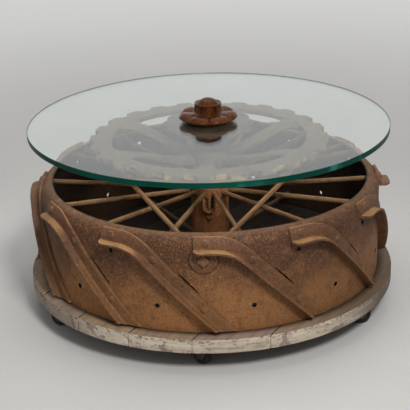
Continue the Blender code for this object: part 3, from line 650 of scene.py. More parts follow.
def wood(name, top, top_dark, stripe):
    """A weathered plank: worn grain, painted shade in the drum and at the rim's foot, and blotched whitewash
    on its edge.
    """
    look = Shading(name)
    # The edge is paler towards PALE_AZIMUTH and darker at the sides: partly whitewash, partly painted light
    # and shade.
    facing = look.vector("DOT_PRODUCT", look.place, polar(1.0 / plinth_radius, PALE_AZIMUTH, 0.0))
    front = look.ramp(facing, -0.17, 0.39)
    grain = look.noise(1.0, 6.0, 0.65, look.grained((0.30, 0.010, 0.05), PLANK_DIRECTION), 0.6)
    fine = look.noise(1.0, 4.0, 0.6, look.grained((0.09, 0.0022, 0.02), PLANK_DIRECTION))
    wear = look.noise(11.0, 6.0, 0.62)
    # foot places a band of painted shade on the tops at the rim's foot.
    foot = look.calc("ADD", look.radius(), look.times(wear, 0.012))
    # On the tops: painted shade away from the front, at the rim's foot and inside the drum, over grain and
    # wear.
    colour = look.marked(
        top, (top_dark, grain, 0.36, 0.68), (stripe, fine, 0.55, 0.75, 0.0, 0.45),
        ((164, 142, 118), wear, 0.54, 0.72, 0.0, 0.40), ((66, 52, 42), facing, 0.0, 0.70, 0.72, 0.0),
        ((44, 32, 22), foot, 0.480, 0.502, 0.85, 0.0), (DRUM_SHADE, look.radius(), 0.462, 0.478, 0.81, 0.0))

    chalk = look.noise(1.0, 6.0, 0.66, look.grained((0.050, 0.050, 0.020)))
    pale = look.times(front, look.ramp(chalk, 0.34, 0.52, 0.55, 1.0))
    side = look.mix(pale, (100, 86, 77), (190, 176, 156))
    streaks = look.noise(1.0, 5.0, 0.62, look.grained((0.13, 0.13, 0.011)))
    side = look.marked(side, ((124, 106, 96), streaks, 0.52, 0.66, 0.0, 0.45))
    bright = look.times(front, look.ramp(streaks, 0.34, 0.46, 0.55, 0.0))
    side = look.mix(bright, side, (212, 201, 184))
    blotches = look.noise(21.0, 5.0, 0.60, distortion=0.5)
    up = look.part("Z")
    chipped = look.ramp(up, plinth_high.z - 0.016, plinth_high.z - 0.003, 0.0, 0.07)
    flecks = look.calc("ADD", chipped, look.noise(1.0, 4.0, 0.66, look.grained((0.011, 0.011, 0.0045))))
    # A pale band about PALE_AZIMUTH is painted light, and the darker left end is painted shade.
    side = look.marked(
        side, ((216, 202, 182), facing, 0.86, 1.0, 0.0, 0.45),
        ((100, 84, 75), look.part("X"), -0.40, -0.26, 0.58, 0.0),
        ((126, 108, 103), blotches, 0.56, 0.61, 0.0, 0.75), ((66, 52, 45), flecks, 0.58, 0.68, 0.0, 0.80))
    walls = look.mix(look.ramp(look.radius(), plinth_radius - 0.008, plinth_radius - 0.004), SEAM, side)
    level = look.ramp(look.calc("ABSOLUTE", look.part("Z", look.normal)), 0.45, 0.80)
    colour = look.mix(level, walls, colour)
    look.bump(fine, 0.0007, 0.6)
    look.bump(chalk, 0.0010, 0.6)
    return look.finish(colour, look.ramp(wear, 0.3, 0.7, 0.62, 0.85), shine=0.2)


def clear_glass():
    """Clear float glass with faint smears in its gloss."""
    look = Shading("clear_glass_face")
    look.shader.inputs["Transmission Weight"].default_value = 1.0
    look.shader.inputs["IOR"].default_value = 1.5
    smears = look.noise(5.0, 3.0, 0.6, distortion=1.2)
    tint = look.mix(look.ramp(smears, 0.35, 0.70), (248, 254, 252), (244, 252, 249))
    return look.finish(tint, look.ramp(smears, 0.45, 0.75, 0.0, 0.012))


def glass_rim():
    """The ground edge of the glass, deep green where light gathers in it, with painted highlights."""
    look = Shading("glass_edge_green")
    drift = look.noise(3.0, 3.0, 0.6)
    glow = look.noise(9.0, 4.0, 0.6)
    # glow sets paler teal patches: painted highlights on the edge.
    colour = look.marked((0, 52, 42), ((2, 70, 57), drift, 0.35, 0.65),
                         ((46, 116, 108), glow, 0.58, 0.72, 0.0, 0.7))
    return look.finish(colour, look.ramp(drift, 0.3, 0.7, 0.28, 0.40), shine=0.06)


def plain_worn(name, base, worn, scale, roughness, metallic, shine=0.3):
    """A dark part with worn patches and fine grime."""
    look = Shading(name)
    patches = look.noise(scale, 6.0, 0.62)
    grime = look.noise(scale * 6.0, 4.0, 0.6)
    colour = look.marked(base, (worn, patches, 0.48, 0.68), ((34, 28, 24), grime, 0.56, 0.74, 0.0, 0.5))
    look.bump(grime, 0.0003, 0.6)
    matt = look.ramp(patches, 0.3, 0.7, roughness - 0.08, roughness + 0.12)
    return look.finish(colour, matt, metallic, shine)


# The rim: painted shade on its inner face and its sides, and tops paled by dust and painted light.
rim_look = rusty(
    "rim_rust_brown", ((84, 56, 41), (144, 99, 61), STAIN, (156, 109, 65), (190, 152, 112)), 0.10,
    warm_below=WARM_HEIGHTS, inside=DRUM_SHADE, side_shade=0.32)
# The grousers: tops paled by dust and painted light, fading further back, and painted shade on the sides.
grouser_look = rusty(
    "grouser_rust_ochre", ((103, 71, 52), (122, 85, 54), STAIN, (142, 100, 62), (174, 130, 84)), 0.85,
    warm_below=WARM_HEIGHTS, gloss=0.56, side_shade=0.24, top_dust_and_light_fades=(-0.28, -0.10))
# The spokes darken towards the back of the drum as painted shade.
spoke_look = rusty(
    "spoke_rust_ochre", ((110, 82, 56), (100, 71, 45), (54, 37, 24), (128, 94, 58), (142, 108, 72)), 0.45,
    shade_behind=(-0.10, 0.10))
hub_look = rusty(
    "hub_brown_iron", ((138, 88, 56), (124, 76, 47), (66, 43, 27), (148, 96, 58), (150, 110, 72)), 0.40,
    gloss=0.5, dirt_and_shade=0.0)
lug_look = rusty(
    "lug_ochre_iron", ((134, 97, 61), (122, 82, 48), (66, 45, 30), (150, 108, 64), (168, 128, 84)), 0.45)
gear_look = rusty(
    "gear_grey_iron", ((66, 56, 44), (62, 50, 36), (40, 34, 27), (92, 74, 48), (84, 72, 54)), 0.30,
    patina=(150, 124, 78))
seat_look = rusty(
    "seat_dark_iron", ((44, 37, 28), (40, 32, 24), (26, 21, 16), (62, 48, 32), (58, 48, 36)), 0.20)
cap_look = rusty(
    "cap_oiled_iron", ((80, 40, 19), (66, 33, 16), (26, 16, 9), (112, 59, 28), (150, 96, 60)), 0.0,
    gloss=0.17, pits=0.0003, shine=0.22, tint=(255, 196, 150))
glass_look = clear_glass()
glass_edge_look = glass_rim()
plank_looks = [wood("plank_brown", (160, 136, 109), (130, 109, 86), (102, 84, 66)),
               wood("plank_mauve_grey", (152, 130, 115), (124, 104, 93), (98, 82, 74)),
               wood("plank_tan", (156, 133, 109), (128, 107, 87), (102, 84, 68))]
steel_look = plain_worn("castor_dark_steel", (58, 54, 52), (92, 84, 76), 60.0, 0.45, 0.7)
rubber_look = plain_worn("castor_black_rubber", (30, 28, 27), (52, 48, 45), 80.0, 0.7, 0.0)
# Black painted shade for hole walls, grooves, the ring under the bolt plate and the glass's bore.
shade_black_look = plain_worn("black_painted_shade", (16, 10, 7), (30, 20, 13), 60.0, 0.8, 0.0, shine=0.02)


def rim_point(along, height, proud):
    """A point off the rim's outer face, by lengths round it, up its profile and out."""
    azimuth = degrees(along / rim_radius)
    if height <= shoulder_rise:
        return polar(rim_radius + proud, azimuth, rim_bottom + height)
    bend = (height - shoulder_rise) / SHOULDER_RADIUS
    reach = SHOULDER_RADIUS + proud
    radius = shoulder_reach + reach * cos(bend)
    return polar(radius, azimuth, rim_bottom + shoulder_rise + reach * sin(bend))


def turn_about_z(azimuth):
    return Matrix.Rotation(radians(azimuth), 4, "Z")


def bar_matrix(start, end):
    """Takes +Z from the origin onto the line from start to end."""
    return Matrix.Translation(start) @ (end - start).to_track_quat("Z", "X").to_matrix().to_4x4()


def rim_holes():
    """Cutters for each bay's two holes and the groove beside each grouser's flange, whose black walls make a
    painted shadow line.
    """
    cutters = []
    for index in range(GROUSER_COUNT):
        start = GROUSER_AZIMUTH + 360.0 * index / GROUSER_COUNT
        for turn, height in (UPPER_HOLE, LOWER_HOLE):
            inner = polar(rim_radius - 3 * RIM_WALL, start + turn, rim_bottom + height)
            outer = polar(rim_radius + 2 * RIM_WALL, start + turn, rim_bottom + height)
            hole = prism(circle(HOLE_DIAMETER / 2), 0.0, 5 * RIM_WALL)
            cutters.append(moved(hole, bar_matrix(inner, outer)))
        rings = []
        for step in range(GROOVE_STEPS + 1):
            share = step / GROOVE_STEPS
            half = GROOVE_WIDTH / 2 * sqrt(1.0 - (2.0 * share - 1.0) ** 2 * GROOVE_TAPER)
            turn = GROOVE_TURNS[0] + (GROOVE_TURNS[1] - GROOVE_TURNS[0]) * share
            height = GROOVE_HEIGHTS[0] + (GROOVE_HEIGHTS[1] - GROOVE_HEIGHTS[0]) * share
            ring = []
            for proud, side in ((-GROOVE_DEPTH, -1), (RIM_WALL, -1), (RIM_WALL, 1), (-GROOVE_DEPTH, 1)):
                offset = side * half * GROOVE_SLANT
                along = radians(start + turn) * rim_radius + offset
                ring.append(rim_point(along, height + offset, proud))
            rings.append(ring)
        cutters.append(skin(rings, caps=True))
    return merged(cutters)


def make_rim():
    """The wheel's band: rounded shoulder, worn lip, shallow dents, holes and grooves, their walls in black
    painted shade.
    """
    centre = (shoulder_reach, rim_bottom + shoulder_rise)
    inner_radius = rim_radius - RIM_WALL
    half_wall = RIM_WALL / 2
    wall_low = rim_bottom + RIM_EDGE
    wall_rise = centre[1] - wall_low
    heights = [wall_low + wall_rise * ring / RIM_RINGS for ring in range(1, RIM_RINGS)]
    profile = arc((rim_radius - RIM_EDGE, wall_low), RIM_EDGE, -90.0, 0.0, 3)
    profile += [(rim_radius, height) for height in heights]
    profile += arc(centre, SHOULDER_RADIUS, 0.0, 90.0, 14)
    profile += arc((centre[0] - LIP_WIDTH + half_wall, rim_top - half_wall), half_wall, 90.0, 270.0, 8)
    profile += arc(centre, SHOULDER_RADIUS - RIM_WALL, 90.0, 0.0, 10)
    profile += [(inner_radius, height) for height in reversed(heights)]
    profile += arc((inner_radius + RIM_EDGE, wall_low), RIM_EDGE, 180.0, 270.0, 3)

    def dented(point, angle):
        radius, height = point
        wide, narrow = (ripple(ring_point(rim_radius, angle, height), size) for size in RIM_DENT_SIZES)
        dent = RIM_DENT * (0.6 * wide + 0.4 * narrow - 0.75)
        sag = RIM_SAG * (ripple(ring_point(rim_radius, angle, 0.0), RIM_SAG_SIZE) - 1.0)
        return radius + dent, height + sag * smooth_step(height, rim_bottom + RIM_SAG_START, rim_top)

    mesh = carved(make_mesh(lathe(profile, RIM_SEGMENTS, dented)), rim_holes())
    show("wheel_rim", mesh, [rim_look, shade_black_look], ["rim"])
    # Hole walls and groove bottoms take the black painted shade.
    for face in mesh.polygons:
        outward = Vector((face.center.x, face.center.y, 0.0)).normalized()
        in_wall = wall_low + RIM_EDGE < face.center.z < centre[1]
        bottom_of_groove = abs(face.center.dot(outward) - rim_radius + GROOVE_DEPTH) < GROOVE_TOLERANCE
        if in_wall and (bottom_of_groove or abs(face.normal.dot(outward)) < HOLE_WALL_FACING):
            face.material_index = 1


def grouser_stations():
    """Stations along a grouser: (arc, height) of its lower edge and of its upper edge."""
    slope = radians(GROUSER_SLOPE)
    low = rim_height - GROUSER_DROP
    stations = []
    for step in range(HEAD_STEPS):
        along = GROUSER_HEAD * (step / HEAD_STEPS) ** HEAD_CROWDING
        stations.append(((along, low), (along, low + GROUSER_FLANGE)))
    centre_height = low - GROUSER_BEND_RADIUS
    for step in range(BEND_STEPS + 1):
        angle = slope * step / BEND_STEPS
        radii = (GROUSER_BEND_RADIUS, GROUSER_BEND_RADIUS + GROUSER_FLANGE)
        stations.append([(GROUSER_HEAD + radius * sin(angle), centre_height + radius * cos(angle))
                         for radius in radii])
    bend_end = stations[-1]
    for step in range(1, RUN_STEPS + 1):
        edges = []
        for along, height in bend_end:
            drop = (height - GROUSER_END_HEIGHT) * step / RUN_STEPS
            edges.append((along + drop / tan(slope), height - drop))
        stations.append(edges)
    return stations


def grouser_section(leg):
    """The angle bar's section with a leg that long: (distance from its lower edge, distance out)."""
    inner = -GROUSER_SINK
    outer = GROUSER_LIFT + GROUSER_THICKNESS
    tip = GROUSER_LIFT + max(leg, GROUSER_THICKNESS + 2.2 * GROUSER_FILLET)
    edge = GROUSER_EDGE
    fillet = GROUSER_FILLET
    points = [(edge, inner)]
    points += [(GROUSER_FLANGE * share, inner) for share in (0.25, 0.5, 0.75)]
    points += arc((GROUSER_FLANGE - edge, inner + edge), edge, -90.0, 0.0, 2)
    points += arc((GROUSER_FLANGE - 2 * edge, outer - 2 * edge), 2 * edge, 0.0, 90.0, 3)
    points += [(GROUSER_FLANGE * 0.75, outer), (GROUSER_FLANGE * 0.5, outer)]
    points += arc((GROUSER_THICKNESS + fillet, outer + fillet), fillet, 270.0, 180.0, 5)
    points += [(GROUSER_THICKNESS, outer + fillet + (tip - outer - fillet) * share) for share in (0.35, 0.7)]
    points += arc((GROUSER_THICKNESS - edge, tip - edge), edge, 0.0, 90.0, 2)
    points += arc((edge, tip - edge), edge, 90.0, 180.0, 2)
    points += [(0.0, inner + (tip - inner) * share) for share in (0.66, 0.33)]
    points += [(0.0, inner + edge)]
    return points


def make_grousers():
    """The angle bars with their rivets, each worn in its own way."""
    stations = grouser_stations()
    for index in range(GROUSER_COUNT):
        azimuth = GROUSER_AZIMUTH + 360.0 * index / GROUSER_COUNT
        turn = turn_about_z(azimuth)
        rings = []
        for station, (lower, upper) in enumerate(stations):
            corner = min(lower[0] / GROUSER_CORNER, 1.0)
            cut = GROUSER_CORNER * (1.0 - sqrt(1.0 - (1.0 - corner) ** 2))
            leg = GROUSER_LEG + (GROUSER_LEG_END - GROUSER_LEG) * lower[0] / stations[-1][0][0]
            run = max(station - HEAD_STEPS - BEND_STEPS, 0) / RUN_STEPS
            ring = []
            for across, proud in grouser_section(leg - cut):
                share = across / GROUSER_FLANGE
                rise = GROUSER_FOOT_RISE * run * smooth_step(proud, GROUSER_THICKNESS, GROUSER_LEG_END)
                lean = rise / tan(radians(GROUSER_SLOPE))
                along = lower[0] + (upper[0] - lower[0]) * share - lean
                height = lower[1] + (upper[1] - lower[1]) * share + rise
                point = turn @ rim_point(along, height, proud)
                stray = GROUSER_WEAR * smooth_step(proud, *GROUSER_WEAR_HEIGHTS)
                offset = Vector()
                for size in GROUSER_WEAR_SIZES:
                    bends = [ripple(spot, size) for spot in (point, point.yzx, point.zxy)]
                    offset += Vector(bends) / 2
                ring.append(point + offset * stray)
            rings.append(ring)
        number = f"{index + 1:02d}"
        mesh = make_mesh(skin(rings, caps=True))
        show(f"grouser_bar_{number}", mesh, [grouser_look], [f"grouser_{number}"])
        rivets = [moved(rivet_at(stations, along), turn) for along in RIVET_ARCS]
        show(f"grouser_rivets_{number}", make_mesh(merged(rivets)), [grouser_look])


def rivet_at(stations, along):
    """A domed rivet head in the middle of the flange, at a length round the rim."""
    middles = []
    for lower, upper in stations:
        middles.append(((lower[0] + upper[0]) / 2, (lower[1] + upper[1]) / 2 + RIVET_RISE))
    place = min(middles, key=lambda middle: abs(middle[0] - along))
    face = GROUSER_LIFT + GROUSER_THICKNESS
    base = rim_point(*place, face - RIVET_BED)
    tip = rim_point(*place, face + RIVET_HEIGHT)
    profile = [(0.0, 0.0), (RIVET_RADIUS, 0.0)]
    for step in range(RIVET_STEPS):
        angle = pi / 2 * step / RIVET_STEPS
        profile.append((RIVET_RADIUS * cos(angle), RIVET_BED + RIVET_HEIGHT * sin(angle)))
    profile.append((0.0, RIVET_BED + RIVET_HEIGHT))
    return moved(lathe(profile, BAR_SIDES), bar_matrix(base, tip))


def facing_out(azimuth, radius, height):
    """Takes +Z outward at an azimuth and +Y up, from a radius and a height."""
    place = turn_about_z(azimuth) @ Matrix.Translation((radius, 0.0, height))
    return place @ Matrix.Rotation(pi / 2, 4, "Z") @ Matrix.Rotation(pi / 2, 4, "X")


def make_bolt():
    """The square-headed bolt and its round plate on the front of the rim, ringed by a painted shadow."""
    azimuth = GROUSER_AZIMUTH + UPPER_HOLE[0]
    height = rim_bottom + UPPER_HOLE[1]
    out = facing_out(azimuth, rim_radius + PLATE_LIFT, height)
    discs = []
    for radius in (PLATE_RADIUS, PLATE_RADIUS + PLATE_SHADOW):
        discs.append([(x, min(y, PLATE_ROOM_ABOVE)) for x, y in circle(radius, PLATE_SIDES)])
    plate = moved(prism(discs[0], 0.0, PLATE_THICKNESS), out)
    show("bolt_plate", make_mesh(plate, PLATE_EDGE), [rim_look], ["rim_bolt"])
    # A thin black ring a little wider than the plate: a painted shadow round its edge.
    grime = moved(prism(discs[1], 0.0, PLATE_SHADOW / 2), out)
    show("bolt_plate_painted_shadow", make_mesh(grime), [shade_black_look])
    half_diagonal = BOLT_WIDTH / sqrt(2.0)
    square = [(half_diagonal, 0.0), (0.0, half_diagonal), (-half_diagonal, 0.0), (0.0, -half_diagonal)]
    head = moved(prism(square, PLATE_THICKNESS, PLATE_THICKNESS + BOLT_HEIGHT), out)
    show("bolt_head", make_mesh(head, BOLT_EDGE), [rim_look])


def node_axis(node):
    """The middles of the two ends of a straight bar among the CAD nodes."""
    points = [vertex.co.copy() for vertex in frame["nodes"][node].data.vertices]
    middle = sum(points, Vector()) / len(points)
    far = max(points, key=lambda point: (point - middle).length)
    direction = (far - middle).normalized()
    ends = []
    for side in (1.0, -1.0):
        near_end = [point for point in points if side * (point - middle).dot(direction) > 0.0]
        ends.append(sum(near_end, Vector()) / len(near_end))
    return ends


def bar_shape(start, end):
    """A round bar between two points, hammered a little out of true."""
    matrix = bar_matrix(start, end)
    length = (end - start).length
    rings = [[Vector((0.0, 0.0, 0.0))]]
    for ring in range(BAR_RINGS + 1):
        height = length * ring / BAR_RINGS
        points = []
        for x, y in circle(BAR_RADIUS, BAR_SIDES):
            spot = matrix @ Vector((x, y, height))
            swell = 1.0 + BAR_WEAR / BAR_RADIUS * (ripple(spot, BAR_WEAR_SIZE) - 0.6)
            points.append(Vector((x * swell, y * swell, height)))
        rings.append(points)
    rings.append([Vector((0.0, 0.0, length))])
    return moved(skin(rings), matrix)


def make_bars():
    """Round bars in the places of the CAD spokes and braces."""
    for node in sorted(frame["nodes"]):
        if node.startswith(("upper_spoke", "lower_spoke", "gear_brace")):
            family, number = node.rsplit("_", 1)
            mesh = make_mesh(bar_shape(*node_axis(node)))
            show(f"{family}_bar_{number}", mesh, [spoke_look], [node])


def make_hub():
    """The cast hub: barrel with spoke flanges, and a cup-shaped lug that holds a pin."""
    low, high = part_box("hub")
    lower, upper = FOOT_EDGES
    fillet = FOOT_FILLET
    profile = [(TIE_BORE, low.z), *arc((FOOT_RADIUS - lower, low.z + lower), lower, -90.0, 0.0, 3)]
    profile += arc((FOOT_RADIUS - upper, low.z + FOOT_HEIGHT - upper), upper, 0.0, 90.0, 4)
    profile += arc((HUB_RADIUS + fillet, low.z + FOOT_HEIGHT + fillet), fillet, 270.0, 180.0, 6)
    for height in SPOKE_HEIGHTS:
        edge = FLANGE_EDGE
        reach = FLANGE_RADIUS - edge
        profile += [(HUB_RADIUS, height - FLANGE_HALF - edge)]
        profile += arc((reach, height - FLANGE_HALF + FLANGE_INSET), edge, -60.0, 0.0, 3)
        profile += arc((reach, height + FLANGE_HALF - FLANGE_INSET), edge, 0.0, 60.0, 3)
        profile += [(HUB_RADIUS, height + FLANGE_HALF + edge)]
    profile += [(NECK_RADIUS, high.z - NECK_HEIGHT), (NECK_RADIUS, high.z - NECK_EDGE),
                (NECK_RADIUS - NECK_EDGE, high.z), (TIE_BORE, high.z)]

    def cast(point, angle):
        radius, height = point
        rough = HUB_WEAR * ripple(ring_point(radius, angle, height), HUB_WEAR_SIZE) - HUB_SHRINK
        return (radius + rough if radius > TIE_BORE else radius), height

    barrel = lathe(profile, HUB_SEGMENTS, cast)
    outline = [(LUG_RADIUS, LUG_RISE), *arc((0.0, 0.0), LUG_RADIUS, 0.0, -180.0, 20), (-LUG_RADIUS, LUG_RISE)]
    bore = LUG_RADIUS - LUG_WALL
    outline += [(-bore, LUG_RISE), *arc((0.0, 0.0), bore, -180.0, 0.0, 16), (bore, LUG_RISE)]
    out = facing_out(LUG_AZIMUTH, 0.0, LUG_HEIGHT)
    lug = moved(prism(outline, HUB_RADIUS - LUG_ROOT, HUB_RADIUS + LUG_REACH - 0.001), out)
    root, tip = HUB_RADIUS - NIPPLE_HALF, HUB_RADIUS + NIPPLE_HALF
    corner = (NIPPLE_RADIUS - NIPPLE_EDGE, tip)
    nipple_profile = [(0.0, root), (NIPPLE_RADIUS, root), (NIPPLE_RADIUS, tip),
                      *arc(corner, NIPPLE_EDGE, 0.0, 90.0, 3), (0.0, tip + NIPPLE_EDGE)]
    nipple = moved(lathe(nipple_profile, CUTTER_SIDES), out @ Matrix.Translation((0.0, -NIPPLE_DROP, 0.0)))
    show("wheel_hub", make_mesh(barrel), [hub_look], ["hub"])
    show("hub_lug", make_mesh(lug, LUG_EDGE), [lug_look])
    show("hub_nipple", make_mesh(nipple), [hub_look])
    foot = polar(HUB_RADIUS + LUG_REACH / 2, LUG_AZIMUTH, LUG_HEIGHT - bore)
    head = polar(HUB_RADIUS + LUG_REACH / 2, LUG_AZIMUTH, LUG_HEIGHT + PIN_LENGTH)
    pin_profile = [(0.0, 0.0), (PIN_RADIUS, 0.0), (PIN_RADIUS, PIN_LENGTH - 0.002),
                   (PIN_RADIUS - 0.001, PIN_LENGTH), (0.0, PIN_LENGTH)]
    pin = moved(lathe(pin_profile, BAR_SIDES), bar_matrix(foot, head))
    show("lug_pin", make_mesh(pin), [spoke_look])


def gear_tooth_radius(angle):
    """The gear's outer radius at an angle from the middle of a tooth."""
    pitch = 2.0 * pi / GEAR_TEETH
    share = abs((angle / pitch + 0.5) % 1.0 - 0.5)
    fall = smooth_step(share, TOOTH_LAND / 2, TOOTH_LAND / 2 + TOOTH_FLANK)
    return GEAR_TIP_RADIUS - (GEAR_TIP_RADIUS - GEAR_ROOT_RADIUS) * fall


def gear_arm(azimuth):
    """A dished arm that widens where it meets the ring."""
    start = GEAR_HUB_RADIUS * ARM_START
    end = GEAR_INNER_RADIUS + ARM_LAP
    turn = turn_about_z(azimuth)
    rings = []
    for step in range(ARM_STEPS + 1):
        radius = start + (end - start) * step / ARM_STEPS
        ease = smooth_step(radius, GEAR_HUB_RADIUS, GEAR_INNER_RADIUS)
        top = ARM_HUB_TOP + (GEAR_RING[1] - ARM_INSET - ARM_HUB_TOP) * ease
        near_ring = min(max((radius - GEAR_INNER_RADIUS) / ARM_FLARE_LENGTH + 1.0, 0.0), 1.0)
        half = ARM_WIDTH / 2 + ARM_FLARE / 2 * (1.0 - sqrt(1.0 - near_ring ** 2))
        bottom = top - ARM_THICKNESS - (ARM_END_THICKNESS - ARM_THICKNESS) * ease
        outline = [(-half, bottom), (half, bottom)]
        outline += [(half * share, top - drop) for share, drop in ARM_CROWN]
        outline += [(-half * share, top - drop) for share, drop in reversed(ARM_CROWN)]
        rings.append([turn @ Vector((radius, side, height)) for side, height in outline])
    return skin(rings, caps=True)


def make_gear():
    """The gear: block teeth, ring, dished arms and hub, run together as one casting."""
    rings = []
    for step in range(GEAR_STEPS):
        angle = 2.0 * pi * step / GEAR_STEPS
        outer = gear_tooth_radius(angle)
        bottom, top = GEAR_RING
        points = [(outer, bottom), (outer, top), (GEAR_INNER_RADIUS, top), (GEAR_INNER_RADIUS, bottom)]
        rings.append([ring_point(radius, angle, height) for radius, height in points])
    hub_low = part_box("gear_wheel")[0].z
    hub_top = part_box("glass_seat")[0].z - GEAR_SEAT_GAP
    section = [(TIE_BORE, hub_low), (GEAR_HUB_RADIUS, hub_low), (GEAR_HUB_RADIUS, hub_top),
               (TIE_BORE, hub_top)]
    hub = lathe(section, HUB_SEGMENTS)
    arms = [gear_arm(360.0 * index / GEAR_ARMS) for index in range(GEAR_ARMS)]
    casting = moved(merged([skin(rings, wrap=True), hub, *arms]), turn_about_z(GEAR_AZIMUTH))

    def melt(carrier):
        remesh = carrier.modifiers.new("Melt", "REMESH")
        remesh.mode = "VOXEL"
        remesh.voxel_size = GEAR_VOXEL
        soften = carrier.modifiers.new("Soften", "SMOOTH")
        soften.factor = 0.5
        soften.iterations = 3

    mesh = evaluated(make_mesh(casting), melt)
    show("gear_casting", mesh, [gear_look], ["gear_wheel"])


def make_seat():
    """The lobed iron disc that carries the glass, on its neck."""
    low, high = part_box("glass_seat")
    disc = high.x
    profile = [(TIE_BORE, low.z, 0.0)]
    profile += [(radius, low.z + rise, 0.0) for radius, rise in SEAT_NECK]
    profile += [(radius, low.z + rise, share) for radius, rise, share in SEAT_FLARE]
    profile += [(disc - inset, low.z + rise, share) for inset, rise, share in SEAT_UNDERSIDE]
    profile += [(disc - inset, high.z - drop, share) for inset, drop, share in SEAT_EDGE]
    profile += [(TIE_BORE, high.z, 0.0)]

    def lobed(point, angle):
        radius, height, share = point
        hollow = (0.5 - 0.5 * cos(SEAT_LOBES * angle)) ** 1.5
        return radius - SEAT_LOBE_DEPTH * share * hollow, height

    mesh = make_mesh(lathe(profile, SEAT_SEGMENTS, lobed))
    show("seat_casting", mesh, [seat_look], ["glass_seat"])


def make_glass():
    """The glass disc: clear faces, a polished green edge with fine arrises, and a bore in black painted
    shade.
    """
    low, high = glass_low.z, glass_high.z
    edge = GLASS_EDGE
    profile = [(GLASS_HOLE_RADIUS, low), (glass_radius - edge, low), (glass_radius, low + edge),
               (glass_radius, high - edge), (glass_radius - edge, high), (GLASS_HOLE_RADIUS, high)]
    mesh = make_mesh(lathe(profile, GLASS_SEGMENTS))
    piece = show("glass_disc", mesh, [glass_look, glass_edge_look, shade_black_look], ["glass_top"])
    # The bore's wall takes black painted shade, for the shadow under the cap.
    for face in mesh.polygons:
        if abs(face.normal.z) < 0.9:
            face.material_index = 1 if hypot(face.center.x, face.center.y) > glass_radius / 2 else 2
    piece.visible_shadow = False


def make_cap():
    """The lobed cap: a spigot, a flange of petals, and a boss with windows and a dome."""
    base = glass_high.z
    profile = [(radius, glass_low.z + rise, 0.0, 0.0) for radius, rise in CAP_SPIGOT]
    profile += [(radius, base + rise, scallop, valley) for radius, rise, scallop, valley in CAP_FLANGE]
    profile += [(radius, base + rise, 0.0, 0.0) for radius, rise in CAP_BOSS]
    crease = radians(CAP_CREASE)
    window_low, window_high = (base + rise for rise in WINDOW_HEIGHTS)

    def lobed(point, angle):
        radius, height, scallop, valley = point
        petal = abs(sin(CAP_PETALS / 2 * (angle - crease)))
        radius -= CAP_SCALLOP * scallop * (1.0 - petal ** 0.33)
        drop = CAP_VALLEY * valley * (1.0 - petal ** 0.36)
        in_wall = WINDOW_RADII[0] < radius < WINDOW_RADII[1]
        if in_wall and window_low < height < window_high:
            half_pitch = 180.0 / CAP_PETALS
            off = abs((degrees(angle - crease) % (2 * half_pitch)) - half_pitch)
            band = smooth_step(height, window_low, window_low + WINDOW_FADE)
            band *= 1.0 - smooth_step(height, window_high - WINDOW_FADE, window_high)
            inside = 1.0 - smooth_step(off, WINDOW_HALF - WINDOW_SIDES[0], WINDOW_HALF + WINDOW_SIDES[1])
            radius -= WINDOW_DEPTH * band * inside
        rough = CAP_WEAR * (ripple(ring_point(radius, angle, height), CAP_WEAR_SIZE) - 1.0)
        return (radius + rough if radius > 0.001 else radius), height - drop

    mesh = make_mesh(lathe(profile, CAP_SEGMENTS, lobed))
    show("cap_casting", mesh, [cap_look], ["top_cap"])


def plank_outline(low, high):
    """A strip of the plinth's disc between two offsets, with X along the planks."""
    start = degrees(asin(max(low / plinth_radius, -1.0)))
    end = degrees(asin(min(high / plinth_radius, 1.0)))
    steps = max(4, ceil((end - start) / ARC_STEP))
    points = arc((0.0, 0.0), plinth_radius, start, end, steps)
    points += arc((0.0, 0.0), plinth_radius, 180.0 - end, 180.0 - start, steps)
    outline = []
    for x, y in points:
        if not outline or hypot(x - outline[-1][0], y - outline[-1][1]) > SAME_POINT:
            dent = 0.5 + 0.5 * ripple(Vector((x, y, 0.0)), PLANK_WEAR_SIZE)
            worn = 1.0 - PLANK_WEAR / plinth_radius * dent
            outline.append((x * worn, y))
    if hypot(outline[0][0] - outline[-1][0], outline[0][1] - outline[-1][1]) < SAME_POINT:
        outline.pop()
    return outline


def castor_joint(index, kind):
    """A castor's swivel or roll joint."""
    return [joint for joint in frame["joints"] if joint["name"] == f"castor_{index}_{kind}"][0]


def plinth_sockets():
    """Cutters for the castor stems and the tie rod."""
    low = plinth_low.z - SOCKET_OVERRUN
    cutters = [prism(circle(TIE_BORE), low, plinth_high.z + SOCKET_OVERRUN)]
    for index in range(1, CASTOR_COUNT + 1):
        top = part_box(f"castor_fork_{index}")[1].z + STEM_CLEARANCE
        stem = castor_joint(index, "swivel")["pos_m"]
        outline = circle(STEM_RADIUS + STEM_CLEARANCE, centre=stem)
        cutters.append(prism(outline, low, top))
    return merged(cutters)


def make_planks():
    """The plinth's planks, edge to edge, with eased edges."""
    first = -floor((plinth_radius + FIRST_SEAM) / PLANK_WIDTH)
    last = floor((plinth_radius - FIRST_SEAM) / PLANK_WIDTH)
    seams = [-(FIRST_SEAM + PLANK_WIDTH * index) for index in range(last, first - 1, -1)]
    bounds = [-plinth_radius, *seams, plinth_radius]
    turn = turn_about_z(PLANK_DIRECTION)
    sockets = plinth_sockets()
    for index, (low, high) in enumerate(zip(bounds, bounds[1:])):
        low_gap = PLANK_GAP / 2 if index > 0 else 0.0
        high_gap = PLANK_GAP / 2 if index < len(seams) else 0.0
        outline = plank_outline(low + low_gap, high - high_gap)
        mesh = make_mesh(moved(prism(outline, plinth_low.z, plinth_high.z), turn), PLANK_EDGE)
        mesh = carved(mesh, sockets)
        look = plank_looks[index % len(plank_looks)]
        show(f"plank_{index + 1}", mesh, [look], ["plinth"] if index == 0 else ())


